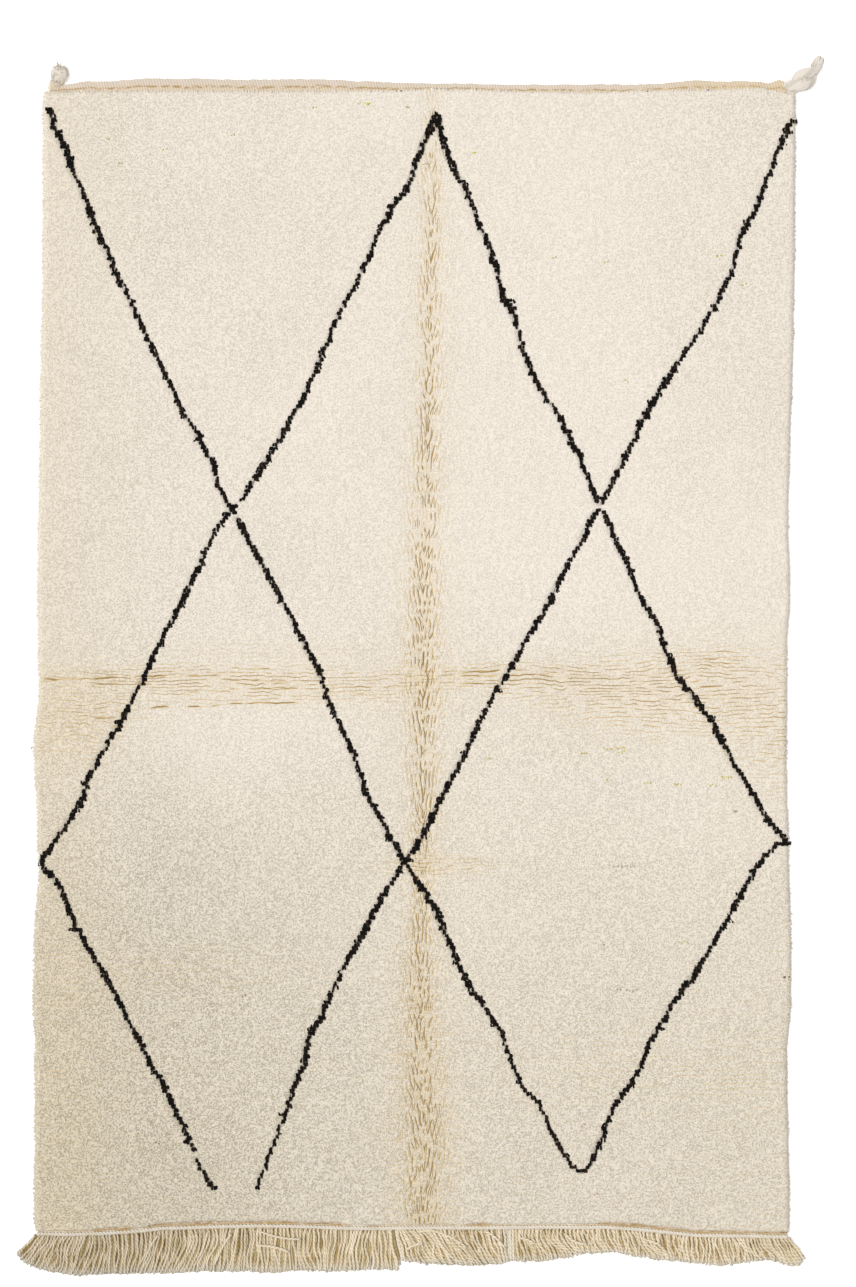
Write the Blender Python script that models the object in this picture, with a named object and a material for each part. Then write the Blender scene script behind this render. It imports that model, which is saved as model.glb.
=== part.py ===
"""A hand-knotted wool rug lying flat: its cloth with a deep pile and a flat-woven hem, a twined cord
along the other end, the warp fringe below it, a tuft at one hemmed corner and a twisted tail at the other.

The rug lies on z = 0, with +Y towards the hemmed end and the origin under the middle of its whole spread.
"""

import bmesh
import bpy
import numpy as np

# Driving dimensions, in metres.
HALF_WIDTH = 0.800      # from the middle line to a straight side of the pile
RUG_THICK = 0.016       # foundation and pile together
RIM_HEIGHT = 0.008      # where the pile leans out furthest at an edge
RIM_ROUND = 0.010       # how far in from the edge the pile reaches its full height
UNDERCUT = 0.003        # how far the foundation stays in under the leaning pile
HEM_THICK = 0.006       # the flat-woven hem past the pile
CORD_WIDTH = 0.008
CORD_HEIGHT = 0.008
FRINGE_THICK = 0.008    # two layers of strands at the cord
TIP_THICK = 0.005       # one layer at the cut ends
HEADING = 0.008         # how far below the cord the fringe is still unparted
GAP = 0.0003            # clearance between pieces that touch

# The mesh's stations.
ACROSS = 12             # columns on each side of the parting
ALONG = 16              # rows on each side of the crosswise crease
TEETH = 96              # locks of strands in the fringe
ROUND_SIDES = 9         # points of a cord's or a tuft's rounded top
BASE_SHARE = 0.8        # a rounded bar's flat base, as a share of its width
WAIST = 0.35            # how high up a rounded bar is widest, as a share of its height
LOCK_SIDE = 0.12        # how much of its stretch a lock leaves free on each side
SPLIT_SIDE = 0.30       # the same at the ends of two locks that stand apart
LOCK_FADE = 0.08        # the length over which the fringe thins to one layer
END_POINT = 0.06        # how far a lock's end comes to a point, as a share of its lower half

# Soft creases where the pile parts: half width and depth.
PARTING = {"half": 0.035, "deep": 0.003}
CROSSWISE = {"y": -0.018, "half": 0.030, "deep": 0.002}

# How far each long side bulges past the straight side, in millimetres, going from the cord end to the hem.
SIDE_COLUMNS = ("y", "left_mm", "right_mm", "parting_mm")
SIDES = (
    (-1.200, 22, -15, -2),
    (-1.115, 24, -14, -2),
    (-0.923, 22, -19, -2),
    (-0.806, 22, -20, -2),
    (-0.732, 26, -11, -1),
    (-0.636, 26, -10, 0),
    (-0.540, 22, -12, 1),
    (-0.434, 11, -16, 2),
    (-0.374, 15, -16, 3),
    (-0.263, 20, -20, 4),
    (-0.178, 27, -21, 4),
    (-0.071, 14, -19, 4),
    (0.056, 15, -20, 4),
    (0.163, 17, -11, 4),
    (0.301, 16, -18, 4),
    (0.461, 11, -14, 13),
    (0.653, 10, -7, 18),
    (0.845, 5, -4, 21),
    (0.994, 5, -3, 22),
    (1.121, 6, -1, 22),
    (1.190, 1, -4, 22),
    (1.224, -7, -6, 22),
)

# The hemmed end: where the pile stops and where the flat-woven hem ends. The hem stops short of the tail.
HEM_COLUMNS = ("x", "pile_y", "hem_y")
HEM = (
    (-0.800, 1.223, 1.236),
    (-0.760, 1.223, 1.243),
    (-0.718, 1.223, 1.249),
    (-0.677, 1.224, 1.245),
    (-0.640, 1.224, 1.251),
    (-0.490, 1.224, 1.251),
    (-0.428, 1.224, 1.247),
    (-0.300, 1.224, 1.249),
    (-0.180, 1.224, 1.247),
    (-0.096, 1.225, 1.243),
    (0.000, 1.228, 1.239),
    (0.107, 1.226, 1.241),
    (0.190, 1.223, 1.237),
    (0.340, 1.220, 1.239),
    (0.437, 1.224, 1.237),
    (0.537, 1.226, 1.244),
    (0.599, 1.226, 1.248),
    (0.658, 1.229, 1.244),
    (0.718, 1.231, 1.246),
    (0.762, 1.225, 1.250),
    (0.776, 1.220, 1.224),
    (0.800, 1.217, 1.219),
)

# The middle of the twined cord.
CORD_COLUMNS = ("x", "y")
CORD = (
    (-0.820, -1.208),
    (-0.737, -1.208),
    (-0.662, -1.206),
    (-0.600, -1.201),
    (-0.550, -1.196),
    (-0.450, -1.192),
    (-0.322, -1.190),
    (-0.258, -1.192),
    (-0.162, -1.196),
    (0.168, -1.194),
    (0.403, -1.193),
    (0.466, -1.198),
    (0.541, -1.206),
    (0.577, -1.211),
    (0.711, -1.212),
    (0.790, -1.214),
)

# The fringe: where a lock leaves the cord and where its end lies.
FRINGE_COLUMNS = ("root_x", "tip_x", "tip_y")
FRINGE = (
    (-0.822, -0.8664, -1.262),
    (-0.801, -0.829, -1.281),
    (-0.769, -0.790, -1.292),
    (-0.726, -0.741, -1.2995),
    (-0.684, -0.692, -1.294),
    (-0.620, -0.620, -1.293),
    (-0.471, -0.475, -1.289),
    (-0.258, -0.256, -1.286),
    (-0.066, -0.058, -1.288),
    (-0.051, -0.026, -1.270),
    (0.019, 0.052, -1.276),
    (0.104, 0.128, -1.275),
    (0.168, 0.180, -1.268),
    (0.194, 0.205, -1.267),
    (0.296, 0.298, -1.263),
    (0.326, 0.330, -1.252),
    (0.356, 0.364, -1.250),
    (0.407, 0.417, -1.248),
    (0.445, 0.454, -1.256),
    (0.467, 0.477, -1.263),
    (0.569, 0.575, -1.270),
    (0.645, 0.652, -1.276),
    (0.690, 0.701, -1.267),
    (0.716, 0.731, -1.264),
    (0.748, 0.773, -1.277),
    (0.773, 0.801, -1.278),
    (0.788, 0.822, -1.261),
)
# Where two neighbouring locks stand apart, along the cord.
SPLITS = (-0.058, 0.181)

# The tuft and the tail: the middle line, half the width across it, and the height.
TUFT_COLUMNS = ("x", "y", "half", "high")
TUFT = (
    (-0.7755, 1.2450, 0.010, 0.008),
    (-0.7720, 1.2510, 0.014, 0.013),
    (-0.7680, 1.2590, 0.017, 0.018),
    (-0.7670, 1.2680, 0.018, 0.019),
    (-0.7675, 1.2765, 0.014, 0.014),
    (-0.7690, 1.2820, 0.006, 0.007),
)
TAIL = (
    (0.7860, 1.2380, 0.013, 0.012),
    (0.7960, 1.2440, 0.020, 0.017),
    (0.8090, 1.2500, 0.023, 0.021),
    (0.8230, 1.2560, 0.021, 0.020),
    (0.8350, 1.2630, 0.014, 0.015),
    (0.8440, 1.2730, 0.0105, 0.012),
    (0.8515, 1.2860, 0.0095, 0.010),
    (0.8575, 1.2975, 0.0060, 0.007),
)

COLOURS = {  # base colour and roughness of each sub-part's wool
    "rug": ((0.80, 0.71, 0.59), 0.95),
    "edge_cord": ((0.70, 0.60, 0.46), 0.90),
    "fringe": ((0.62, 0.51, 0.36), 0.90),
    "corner_tuft": ((0.80, 0.72, 0.62), 0.95),
    "corner_tail": ((0.78, 0.69, 0.57), 0.92),
}


def column(table, columns, name):
    """One named column of a table, as an array."""
    return np.array([row[columns.index(name)] for row in table])


def read_off(table, columns, at, name):
    """The named column at each value of the table's first column, by straight lines between its rows."""
    return np.interp(at, column(table, columns, columns[0]), column(table, columns, name))


def side_x(y, share):
    """The x of a point a share of the way from the left side to the right one, 0.5 being the parting."""
    left = -HALF_WIDTH - read_off(SIDES, SIDE_COLUMNS, y, "left_mm") / 1000
    right = HALF_WIDTH + read_off(SIDES, SIDE_COLUMNS, y, "right_mm") / 1000
    middle = read_off(SIDES, SIDE_COLUMNS, y, "parting_mm") / 1000
    to_left = left + (middle - left) * share * 2
    to_right = middle + (right - middle) * (share * 2 - 1)
    return np.where(share < 0.5, to_left, to_right)


def column_shares():
    """Shares from side to side: one close to each side, evenly between, and closer beside the parting."""
    rim = RIM_ROUND / (2 * HALF_WIDTH)
    by_crease = 0.5 - PARTING["half"] * np.array([2.4, 1.6, 1.0, 0.5, 0.0]) / (2 * HALF_WIDTH)
    left = np.concatenate([[0, rim], np.linspace(rim, by_crease[0], ACROSS)[1:-1], by_crease])
    return np.concatenate([left, 1 - left[-2::-1]])


def cord_line(shares):
    """The cord's middle line at the given shares, which the rug's end and the fringe's head follow too."""
    x = side_x(np.full(len(shares), CORD[0][1]), shares)
    return np.stack([x, read_off(CORD, CORD_COLUMNS, x, "y")], 1)


def new_object(name, bm):
    """A bmesh as a named object with its own wool."""
    bmesh.ops.recalc_face_normals(bm, faces=bm.faces)
    mesh = bpy.data.meshes.new(name)
    bm.to_mesh(mesh)
    bm.free()
    obj = bpy.data.objects.new(name, mesh)
    bpy.context.scene.collection.objects.link(obj)
    colour, rough = COLOURS[name]
    material = bpy.data.materials.new(name + "_wool")
    material.use_nodes = True
    shader = material.node_tree.nodes["Principled BSDF"]
    shader.inputs["Base Color"].default_value = (*colour, 1)
    shader.inputs["Roughness"].default_value = rough
    shader.inputs["Metallic"].default_value = 0
    mesh.materials.append(material)
    return obj


def rug_rows(shares):
    """The rug's rows of points from the cord end to the hem's end, and the height of each row.

    The rows run evenly up the pile, closer beside the crosswise crease, then step down to the hem.
    """
    end = cord_line(shares)
    first_y = end[:, 1] + CORD_WIDTH / 2 + GAP
    pile_y = read_off(HEM, HEM_COLUMNS, end[:, 0], "pile_y")
    hem_y = read_off(HEM, HEM_COLUMNS, end[:, 0], "hem_y")
    crease = CROSSWISE["y"] + CROSSWISE["half"] * np.array([-2.2, -1.1, -0.5, 0, 0.5, 1.1, 2.2])
    levels = np.concatenate([
        np.linspace(first_y.max() + RIM_ROUND, crease[0], ALONG)[:-1],
        crease,
        np.linspace(crease[-1], pile_y.min() - RIM_ROUND, ALONG)[1:],
    ])
    # Rows near an end take that end's unevenness, which fades out within a fifth of the length.
    spread = levels[-1] - levels[0]
    near_cord = np.clip(1 - (levels - levels[0]) / spread * 5, 0, 1)[:, None]
    near_hem = np.clip(1 - (levels[-1] - levels) / spread * 5, 0, 1)[:, None]
    inner = levels[:, None] + near_cord * (first_y - first_y.max()) + near_hem * (pile_y - pile_y.min())
    hem = hem_y - pile_y
    rows = [
        (first_y, RIM_HEIGHT),
        *((row, RUG_THICK) for row in inner),
        (pile_y, RIM_HEIGHT),
        (pile_y + 0.15 * hem, HEM_THICK),
        (pile_y + 0.85 * hem, HEM_THICK),
        (hem_y, HEM_THICK / 2),
    ]
    return rows


def dent(distance, crease):
    """How far the pile sinks at a distance from a crease's middle: a bell curve."""
    return crease["deep"] * np.exp(-((distance / crease["half"]) ** 2) * 1.5)


def build_rug():
    """The cloth with its pile and hem: a grid for the top, a leaning wall round it and one flat underside."""
    shares = column_shares()
    bm = bmesh.new()
    grid = []
    rows = rug_rows(shares)
    for number, (y, height) in enumerate(rows):
        x = side_x(y, shares)
        z = np.full(len(shares), height)
        if height == RUG_THICK:
            z -= dent(x - side_x(y, np.full(len(shares), 0.5)), PARTING)
            z -= dent(y - CROSSWISE["y"], CROSSWISE)
        z[[0, -1]] = min(height, RIM_HEIGHT)
        if number == 0:
            x = cord_line(shares)[:, 0]
        grid.append([bm.verts.new(point) for point in zip(x, y, z)])
    for lower, upper in zip(grid, grid[1:]):
        for i in range(len(lower) - 1):
            bm.faces.new((lower[i], lower[i + 1], upper[i + 1], upper[i]))
    rim = [
        *((grid[0][i], grid[1][i]) for i in range(len(shares))),
        *((row[-1], row[-2]) for row in grid[1:-1]),
        *((grid[-1][i], grid[-2][i]) for i in reversed(range(len(shares)))),
        *((row[0], row[1]) for row in reversed(grid[1:-1])),
    ]
    under = []
    for edge, inner in rim:
        inward = (inner.co - edge.co).xy
        foot = edge.co.xy + inward.normalized() * min(UNDERCUT, inward.length / 2)
        under.append(bm.verts.new((foot.x, foot.y, 0)))
    for i in range(len(rim)):
        j = (i + 1) % len(rim)
        bm.faces.new((rim[i][0], under[i], under[j], rim[j][0]))
    bm.faces.new(under)
    return new_object("rug", bm)


def rounded_bar(name, line, half, high):
    """A bar along a line of points in plan: flat below, half an ellipse above, closed at both ends."""
    line = np.asarray(line, float)
    along = np.gradient(line, axis=0)
    along /= np.linalg.norm(along, axis=1)[:, None]
    side = np.stack([along[:, 1], -along[:, 0]], 1)
    turn = np.linspace(0, np.pi, ROUND_SIDES)
    across = np.concatenate([[BASE_SHARE], np.cos(turn), [-BASE_SHARE]])
    up = np.concatenate([[0.0], WAIST + (1 - WAIST) * np.sin(turn), [0.0]])
    bm = bmesh.new()
    rings = []
    for place, out, width, height in zip(line, side, half, high):
        plan = place + np.outer(across, out) * width
        rings.append([bm.verts.new((x, y, z)) for (x, y), z in zip(plan, up * height)])
    for first, second in zip(rings, rings[1:]):
        for i in range(len(first)):
            j = (i + 1) % len(first)
            bm.faces.new((first[i], first[j], second[j], second[i]))
    bm.faces.new(rings[0])
    bm.faces.new(rings[-1])
    return new_object(name, bm)


def build_cord():
    """The twined cord that holds the last weft, along the whole end."""
    line = cord_line(column_shares())
    count = len(line)
    return rounded_bar("edge_cord", line, [CORD_WIDTH / 2] * count, [CORD_HEIGHT] * count)


def lock_side(point, neck, tip, share_above, share_below):
    """One long side of a lock: three points from its neck to its end."""
    above = neck[0] * (1 - share_above) + neck[1] * share_above
    below = tip[0] * (1 - share_below) + tip[1] * share_below
    return [point(above), point((above + below) / 2), point(below)]


def build_fringe():
    """One comb: an unparted head along the cord, and a tapering lock for each short stretch of it.

    The locks' ends follow the fringe's table, so they fan out at the corners and sweep sideways between.
    """
    ends = cord_line(column_shares())
    root_x = np.linspace(ends[0, 0], ends[-1, 0], TEETH + 1)
    root_y = np.interp(root_x, ends[:, 0], ends[:, 1]) - CORD_WIDTH / 2 - GAP
    first = FRINGE[0][0]
    stretch = (FRINGE[-1][0] - first) / (root_x[-1] - root_x[0])
    reach = first + (root_x - root_x[0]) * stretch
    tip = np.stack([read_off(FRINGE, FRINGE_COLUMNS, reach, name) for name in ("tip_x", "tip_y")], 1)
    root = np.stack([root_x, root_y], 1)
    length = np.linalg.norm(tip - root, axis=1)[:, None]
    neck = root + (tip - root) * (HEADING / length)
    bm = bmesh.new()

    def point(place):
        return bm.verts.new((place[0], place[1], 0))

    heads = [(point(a), point(b)) for a, b in zip(root, neck)]
    for i in range(TEETH):
        apart = any(abs((reach[i] + reach[i + 1]) / 2 - x) < HEADING for x in SPLITS)
        side = SPLIT_SIDE if apart else LOCK_SIDE
        left = lock_side(point, neck[i:i + 2], tip[i:i + 2], LOCK_SIDE, side)
        right = lock_side(point, neck[i:i + 2], tip[i:i + 2], 1 - LOCK_SIDE, 1 - side)
        middle = (left[-1].co.xy + right[-1].co.xy) / 2
        end = point(middle + (left[-1].co.xy - left[-2].co.xy) * END_POINT)
        (head_a, neck_a), (head_b, neck_b) = heads[i], heads[i + 1]
        bm.faces.new((head_a, neck_a, left[0], right[0], neck_b, head_b))
        bm.faces.new((left[0], left[1], right[1], right[0]))
        bm.faces.new((left[1], left[2], right[2], right[1]))
        bm.faces.new((left[2], end, right[2]))
    flat = list(bm.faces)
    raised = bmesh.ops.extrude_face_region(bm, geom=flat)["geom"]
    bmesh.ops.reverse_faces(bm, faces=flat)
    for vert in (item for item in raised if isinstance(item, bmesh.types.BMVert)):
        below = np.interp(vert.co.x, root_x, root_y) - vert.co.y
        vert.co.z = FRINGE_THICK + (TIP_THICK - FRINGE_THICK) * np.clip(below / LOCK_FADE, 0, 1)
    return new_object("fringe", bm)


def build_corner(name, table):
    """A tuft or a tail of loose wool at a corner, lying on the floor."""
    get = {title: column(table, TUFT_COLUMNS, title) for title in TUFT_COLUMNS}
    line = np.stack([get["x"], get["y"]], 1)
    return rounded_bar(name, line, get["half"], get["high"])


def main():
    """Clears the scene and builds the rug's five pieces."""
    for obj in list(bpy.data.objects):
        bpy.data.objects.remove(obj)
    build_rug()
    build_cord()
    build_fringe()
    build_corner("corner_tuft", TUFT)
    build_corner("corner_tail", TAIL)


main()
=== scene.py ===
"""The looks of a hand-knotted wool rug: pile with a dark lattice, woven hem, cord, fringe and corner wool.

It is laid out as an add-on and run as a script. Every piece is a surface worked out on a grid, in metres,
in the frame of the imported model: +Y towards the hemmed end, the floor at z = 0.
"""

import math

import bpy
import numpy as np
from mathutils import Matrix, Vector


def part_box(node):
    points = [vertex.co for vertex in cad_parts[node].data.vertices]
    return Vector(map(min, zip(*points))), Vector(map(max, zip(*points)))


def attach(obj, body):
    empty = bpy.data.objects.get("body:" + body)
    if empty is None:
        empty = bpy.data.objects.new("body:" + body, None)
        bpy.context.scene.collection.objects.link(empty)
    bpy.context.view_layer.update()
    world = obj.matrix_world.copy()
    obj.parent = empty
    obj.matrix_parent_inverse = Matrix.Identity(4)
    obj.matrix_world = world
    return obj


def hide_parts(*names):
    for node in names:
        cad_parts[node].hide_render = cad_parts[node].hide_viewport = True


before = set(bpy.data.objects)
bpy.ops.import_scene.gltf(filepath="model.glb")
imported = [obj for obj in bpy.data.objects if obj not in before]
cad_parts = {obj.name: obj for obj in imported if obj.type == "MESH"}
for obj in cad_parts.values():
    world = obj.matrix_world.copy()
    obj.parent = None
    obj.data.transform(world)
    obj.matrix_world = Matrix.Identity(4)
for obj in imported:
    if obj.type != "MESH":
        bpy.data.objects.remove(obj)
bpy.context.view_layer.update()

bl_info = {
    "name": "Lattice Pile Rug",
    "version": (1, 0, 0),
    "blender": (4, 5, 0),
    "location": "3D View > Sidebar > Rug",
    "description": "Builds the pile, lattice, hem, cord, fringe and corner wool of a knotted rug",
    "category": "Object",
}

# ---------------------------------------------------------------------------------------------------------
# Places on the rug, in millimetres, listed one by one
# ---------------------------------------------------------------------------------------------------------

# The four dark lines that cross into diamonds. Each runs the whole length, as its x at each y.
LATTICE = {
    "hem_left": (
        (1190, -792), (1139, -775), (1070, -745), (911, -682), (800, -629), (683, -573), (568, -520),
        (438, -447), (393, -434), (334, -403), (135, -292), (-14, -215), (-52, -204), (-176, -151),
        (-284, -109), (-418, -34), (-510, 28), (-574, 53), (-676, 102), (-774, 170), (-830, 187),
        (-906, 224), (-930, 251), (-1013, 290), (-1062, 322), (-1078, 341),
    ),
    "apex_left": (
        (1179, 33), (1070, -11), (1009, -32), (994, -51), (915, -94), (823, -132), (781, -161),
        (678, -204), (559, -256), (538, -270), (482, -300), (450, -322), (397, -355), (365, -372),
        (334, -403), (291, -437), (146, -505), (-5, -584), (-37, -596), (-114, -638), (-229, -704),
        (-282, -721), (-418, -810), (-476, -764), (-555, -735), (-685, -658), (-849, -575),
        (-900, -544), (-1021, -488), (-1055, -474), (-1114, -436),
    ),
    "apex_right": (
        (1179, 33), (1079, 60), (1049, 79), (872, 155), (789, 177), (747, 196), (631, 234), (578, 264),
        (523, 300), (472, 326), (340, 381), (331, 390), (282, 411), (154, 464), (101, 498), (-10, 539),
        (-59, 577), (-118, 620), (-225, 677), (-327, 741), (-374, 780), (-379, 758), (-433, 711),
        (-525, 660), (-585, 624), (-655, 586), (-710, 541), (-800, 490), (-857, 466), (-940, 411),
        (-968, 398), (-1062, 360), (-1078, 341),
    ),
    "hem_right": (
        (1170, 794), (1094, 758), (964, 709), (913, 679), (864, 671), (766, 626), (659, 556),
        (563, 494), (461, 441), (340, 381), (331, 372), (248, 330), (97, 251), (-24, 177), (-140, 111),
        (-171, 102), (-289, 36), (-361, 4), (-418, -34), (-491, -83), (-555, -115), (-646, -168),
        (-736, -209), (-808, -243), (-842, -245), (-906, -275), (-987, -300), (-1055, -330),
        (-1113, -351),
    ),
}
# Where a line is broken by ivory knots: y, and half of the gap's length.
BREAKS = (
    (340, "apex_right", 5), (340, "hem_right", 5), (-1040, "apex_left", 6),
    (348, "apex_left", 2), (322, "hem_left", 3),
)
# Single knots that stand out sideways from a line: line, y and how far out.
SPURS = (
    ("apex_right", 781, 13),
    ("apex_left", -563, -14),
    ("apex_right", -376, 6),
    ("hem_right", 1170, 6),
    ("hem_right", 1135, 9),
    ("hem_right", -950, -12),
    ("apex_right", -431, -9),
    ("hem_left", 1150, -4),
    ("apex_left", -300, 8),
)

# The parting of the pile: its middle line, how wide it opens and how strongly its tan depth shows.
PARTING_COLUMNS = ("y", "x", "half", "show")
PARTING = (
    (-1190, 2, 56, 0.95),
    (-1060, 9, 60, 1.0),
    (-900, 3, 52, 1.0),
    (-700, -1, 42, 0.95),
    (-560, -1, 38, 0.80),
    (-430, 2, 38, 0.60),
    (-300, 5, 40, 0.85),
    (-100, 5, 44, 1.0),
    (200, 5, 42, 1.0),
    (400, 12, 38, 0.85),
    (600, 18, 36, 0.80),
    (900, 21, 34, 0.72),
    (1060, 23, 32, 0.66),
    (1170, 23, 24, 0.40),
)

# Crosswise creases: where each starts and ends, how deep it is and how wide.
CREASE_COLUMNS = ("x0", "y0", "x1", "y1", "deep", "half")
CREASES = (
    (-811, -27, -640, -24, 1.00, 1.7),
    (-640, -24, -380, -14, 0.75, 1.7),
    (-790, -38, -560, -37, 0.60, 1.7),
    (-588, -88, -417, -82, 0.90, 1.7),
    (-417, -82, -255, -74, 0.70, 1.7),
    (-771, -97, -728, -110, 0.80, 1.7),
    (-728, -110, -641, -110, 0.70, 1.7),
    (-520, -55, -258, -45, 0.60, 1.7),
    (-500, -33, -262, -31, 0.55, 1.7),
    (-480, -8, -300, -4, 0.50, 1.7),
    (-300, -40, -34, -46, 0.55, 1.7),
    (-262, -62, -60, -55, 0.45, 1.7),
    (-670, 60, -430, 55, 0.35, 1.7),
    (-400, 46, -60, 42, 0.30, 1.7),
    (23, -20, 245, -2, 0.70, 1.7),
    (30, -24, 300, -14, 0.60, 1.7),
    (47, -37, 140, -38, 0.70, 1.7),
    (160, -30, 466, -24, 0.45, 1.7),
    (296, -44, 466, -50, 0.40, 1.7),
    (577, 15, 669, 18, 0.55, 1.7),
    (600, 3, 669, 5, 0.45, 1.7),
    (480, 28, 700, 32, 0.40, 1.7),
    (500, -60, 760, -66, 0.35, 1.7),
    (-760, -150, -560, -146, 0.35, 1.7),
    (-420, -140, -150, -150, 0.30, 1.7),
    (-80, -425, 120, -432, 0.60, 2.0),
    (30, -416, 140, -408, 0.45, 1.7),
    (-130, -436, -30, -440, 0.45, 1.7),
    (-700, -640, -300, -628, 0.25, 1.7),
    (200, -840, 620, -852, 0.20, 1.7),
)

# Patches where the knot rows open as fine crosswise lines: middle, half width, half length and strength.
FOLD_COLUMNS = ("x", "y", "wide", "long", "show")
FOLDS = (
    (-560, -22, 300, 26, 0.95),
    (-400, -62, 260, 24, 0.60),
    (-700, -95, 130, 40, 0.65),
    (-740, -160, 110, 60, 0.45),
    (-300, 35, 330, 26, 0.30),
    (170, -18, 190, 24, 0.90),
    (430, -45, 320, 50, 0.70),
    (560, -30, 300, 110, 0.34),
    (-250, -30, 220, 34, 0.55),
    (640, 8, 130, 30, 0.40),
    (560, -120, 280, 70, 0.40),
    (760, -180, 90, 110, 0.45),
    (30, -425, 140, 22, 0.70),
    (-90, -70, 60, 40, 0.30),
    (-500, -640, 300, 60, 0.18),
    (500, -850, 280, 90, 0.16),
)

# Where a strip of bare foundation shows between the pile and the cord: from x to x.
BARE_SPANS = ((-698, -620), (-577, -162), (104, 147), (381, 786))

# Small flecks of other wool in the pile: x, y, half its length across, strength, and which colour.
FLECKS = (
    (-113, 1200, 4, 1.0, "yellow"), (688, 815, 4, 1.0, "yellow"), (111, 1094, 3, 0.9, "yellow"),
    (634, 877, 4, 0.9, "yellow"), (428, -182, 6, 1.0, "yellow"), (412, -174, 22, 0.5, "yellow"),
    (347, -184, 5, 0.7, "yellow"), (648, -235, 9, 0.9, "yellow"), (620, -252, 5, 0.6, "yellow"),
    (546, -250, 8, 0.6, "yellow"), (482, -247, 5, 0.6, "yellow"), (400, -240, 4, 0.6, "yellow"),
    (-134, 1202, 3, 0.5, "yellow"), (-226, 1192, 3, 0.5, "yellow"), (-30, 1192, 3, 0.5, "yellow"),
    (7, 1070, 3, 0.5, "yellow"), (-667, 1126, 3, 0.5, "yellow"), (-545, 1102, 3, 0.5, "yellow"),
    (-641, 1072, 3, 0.5, "yellow"), (-403, 1132, 3, 0.4, "yellow"), (437, 608, 3, 0.5, "yellow"),
    (283, 872, 3, 0.5, "yellow"), (392, 862, 3, 0.5, "yellow"), (148, -194, 5, 0.6, "yellow"),
    (556, -587, 9, 0.4, "yellow"), (787, -644, 3, 1.0, "brown"), (778, -660, 4, 0.9, "brown"),
    (421, -688, 4, 0.6, "brown"), (447, -690, 9, 0.3, "brown"), (671, -306, 3, 0.5, "brown"),
    (430, -425, 20, 0.25, "brown"), (387, -593, 3, 0.5, "rust"), (-562, -1014, 3, 0.7, "brown"),
    (-378, -702, 3, 0.6, "brown"), (-537, 1228, 3, 0.9, "brown"), (-826, -172, 4, 0.9, "pink"),
    (345, -976, 4, 0.4, "pink"), (373, -1123, 4, 0.5, "rust"), (-585, -400, 6, 0.4, "pink"),
)

# The fringe: where a strand leaves the cord and where its end lies.
FRINGE_COLUMNS = ("root_x", "tip_x", "tip_y")
FRINGE = (
    (-822, -862, -1254), (-808, -850, -1270), (-782, -822, -1284), (-745, -781, -1293),
    (-705, -726, -1300), (-675, -684, -1296), (-637, -641, -1296), (-599, -613, -1294),
    (-556, -581, -1294), (-518, -541, -1294), (-479, -496, -1292), (-432, -449, -1290),
    (-394, -407, -1290), (-364, -364, -1290), (-322, -317, -1294), (-258, -251, -1288),
    (-194, -194, -1290), (-147, -160, -1290), (-104, -109, -1286), (-64, -51, -1288),
    (-55, -40, -1268), (-36, 4, -1273), (6, 58, -1277), (51, 94, -1277), (94, 130, -1277),
    (150, 171, -1274), (180, 182, -1270), (199, 200, -1270), (232, 249, -1268), (279, 300, -1264),
    (317, 334, -1253), (364, 381, -1251), (398, 413, -1249), (428, 445, -1256), (462, 488, -1264),
    (513, 530, -1268), (573, 581, -1272), (628, 641, -1279), (675, 690, -1272), (718, 743, -1266),
    (748, 780, -1277), (771, 805, -1279), (784, 820, -1266),
)
# Where only a few straight, pale strands lie between the others: from x to x of their ends.
FRINGE_OPENINGS = ((-44, -36), (183, 199))
# Loose strands that lie across the others, from one end to the other, and how far they bow.
CROSSING_COLUMNS = ("x0", "y0", "x1", "y1", "bow")
CROSSING = (
    (-345, -1203, -256, -1220, -5),
    (-349, -1234, -280, -1248, 4),
    (10, -1200, 98, -1238, 7),
    (26, -1203, 70, -1262, -6),
    (135, -1203, 181, -1242, 6),
    (-30, -1242, 3, -1230, 3),
    (306, -1208, 353, -1230, -7),
    (210, -1218, 243, -1231, 3),
    (-455, -1205, -476, -1262, -9),
    (-404, -1210, -440, -1275, 7),
    (478, -1222, 512, -1236, 3),
    (-560, -1212, -590, -1268, 6),
)

# The tuft at the hem's left corner and the tail at its right one: middle line, half width and height.
TUFT = (
    (-790, 1224, 7, 6), (-788, 1232, 8, 8), (-784, 1240, 10, 9), (-777, 1248, 14, 13), (-773, 1256, 18, 17),
    (-771, 1266, 19, 18), (-773, 1275, 15, 15), (-775, 1282, 7, 9),
)
TAIL = (
    (774, 1228, 12, 8), (786, 1233, 18, 12), (800, 1240, 21, 16), (813, 1249, 22, 19), (824, 1257, 20, 19),
    (834, 1266, 16, 16), (841, 1277, 13, 13), (848, 1290, 10, 10), (855, 1302, 8, 6),
)
# Below this y the tuft is its tan neck.
TUFT_NECK = 1246


def table(rows, columns):
    """A table's columns by name, as arrays in metres, except those that are shares."""
    shares = {"show", "deep"}
    values = np.array(rows, float).T
    return {name: v if name in shares else v / 1000 for name, v in zip(columns, values)}


# ---------------------------------------------------------------------------------------------------------
# Noise
# ---------------------------------------------------------------------------------------------------------

NOISE_SIDE = 512


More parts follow.
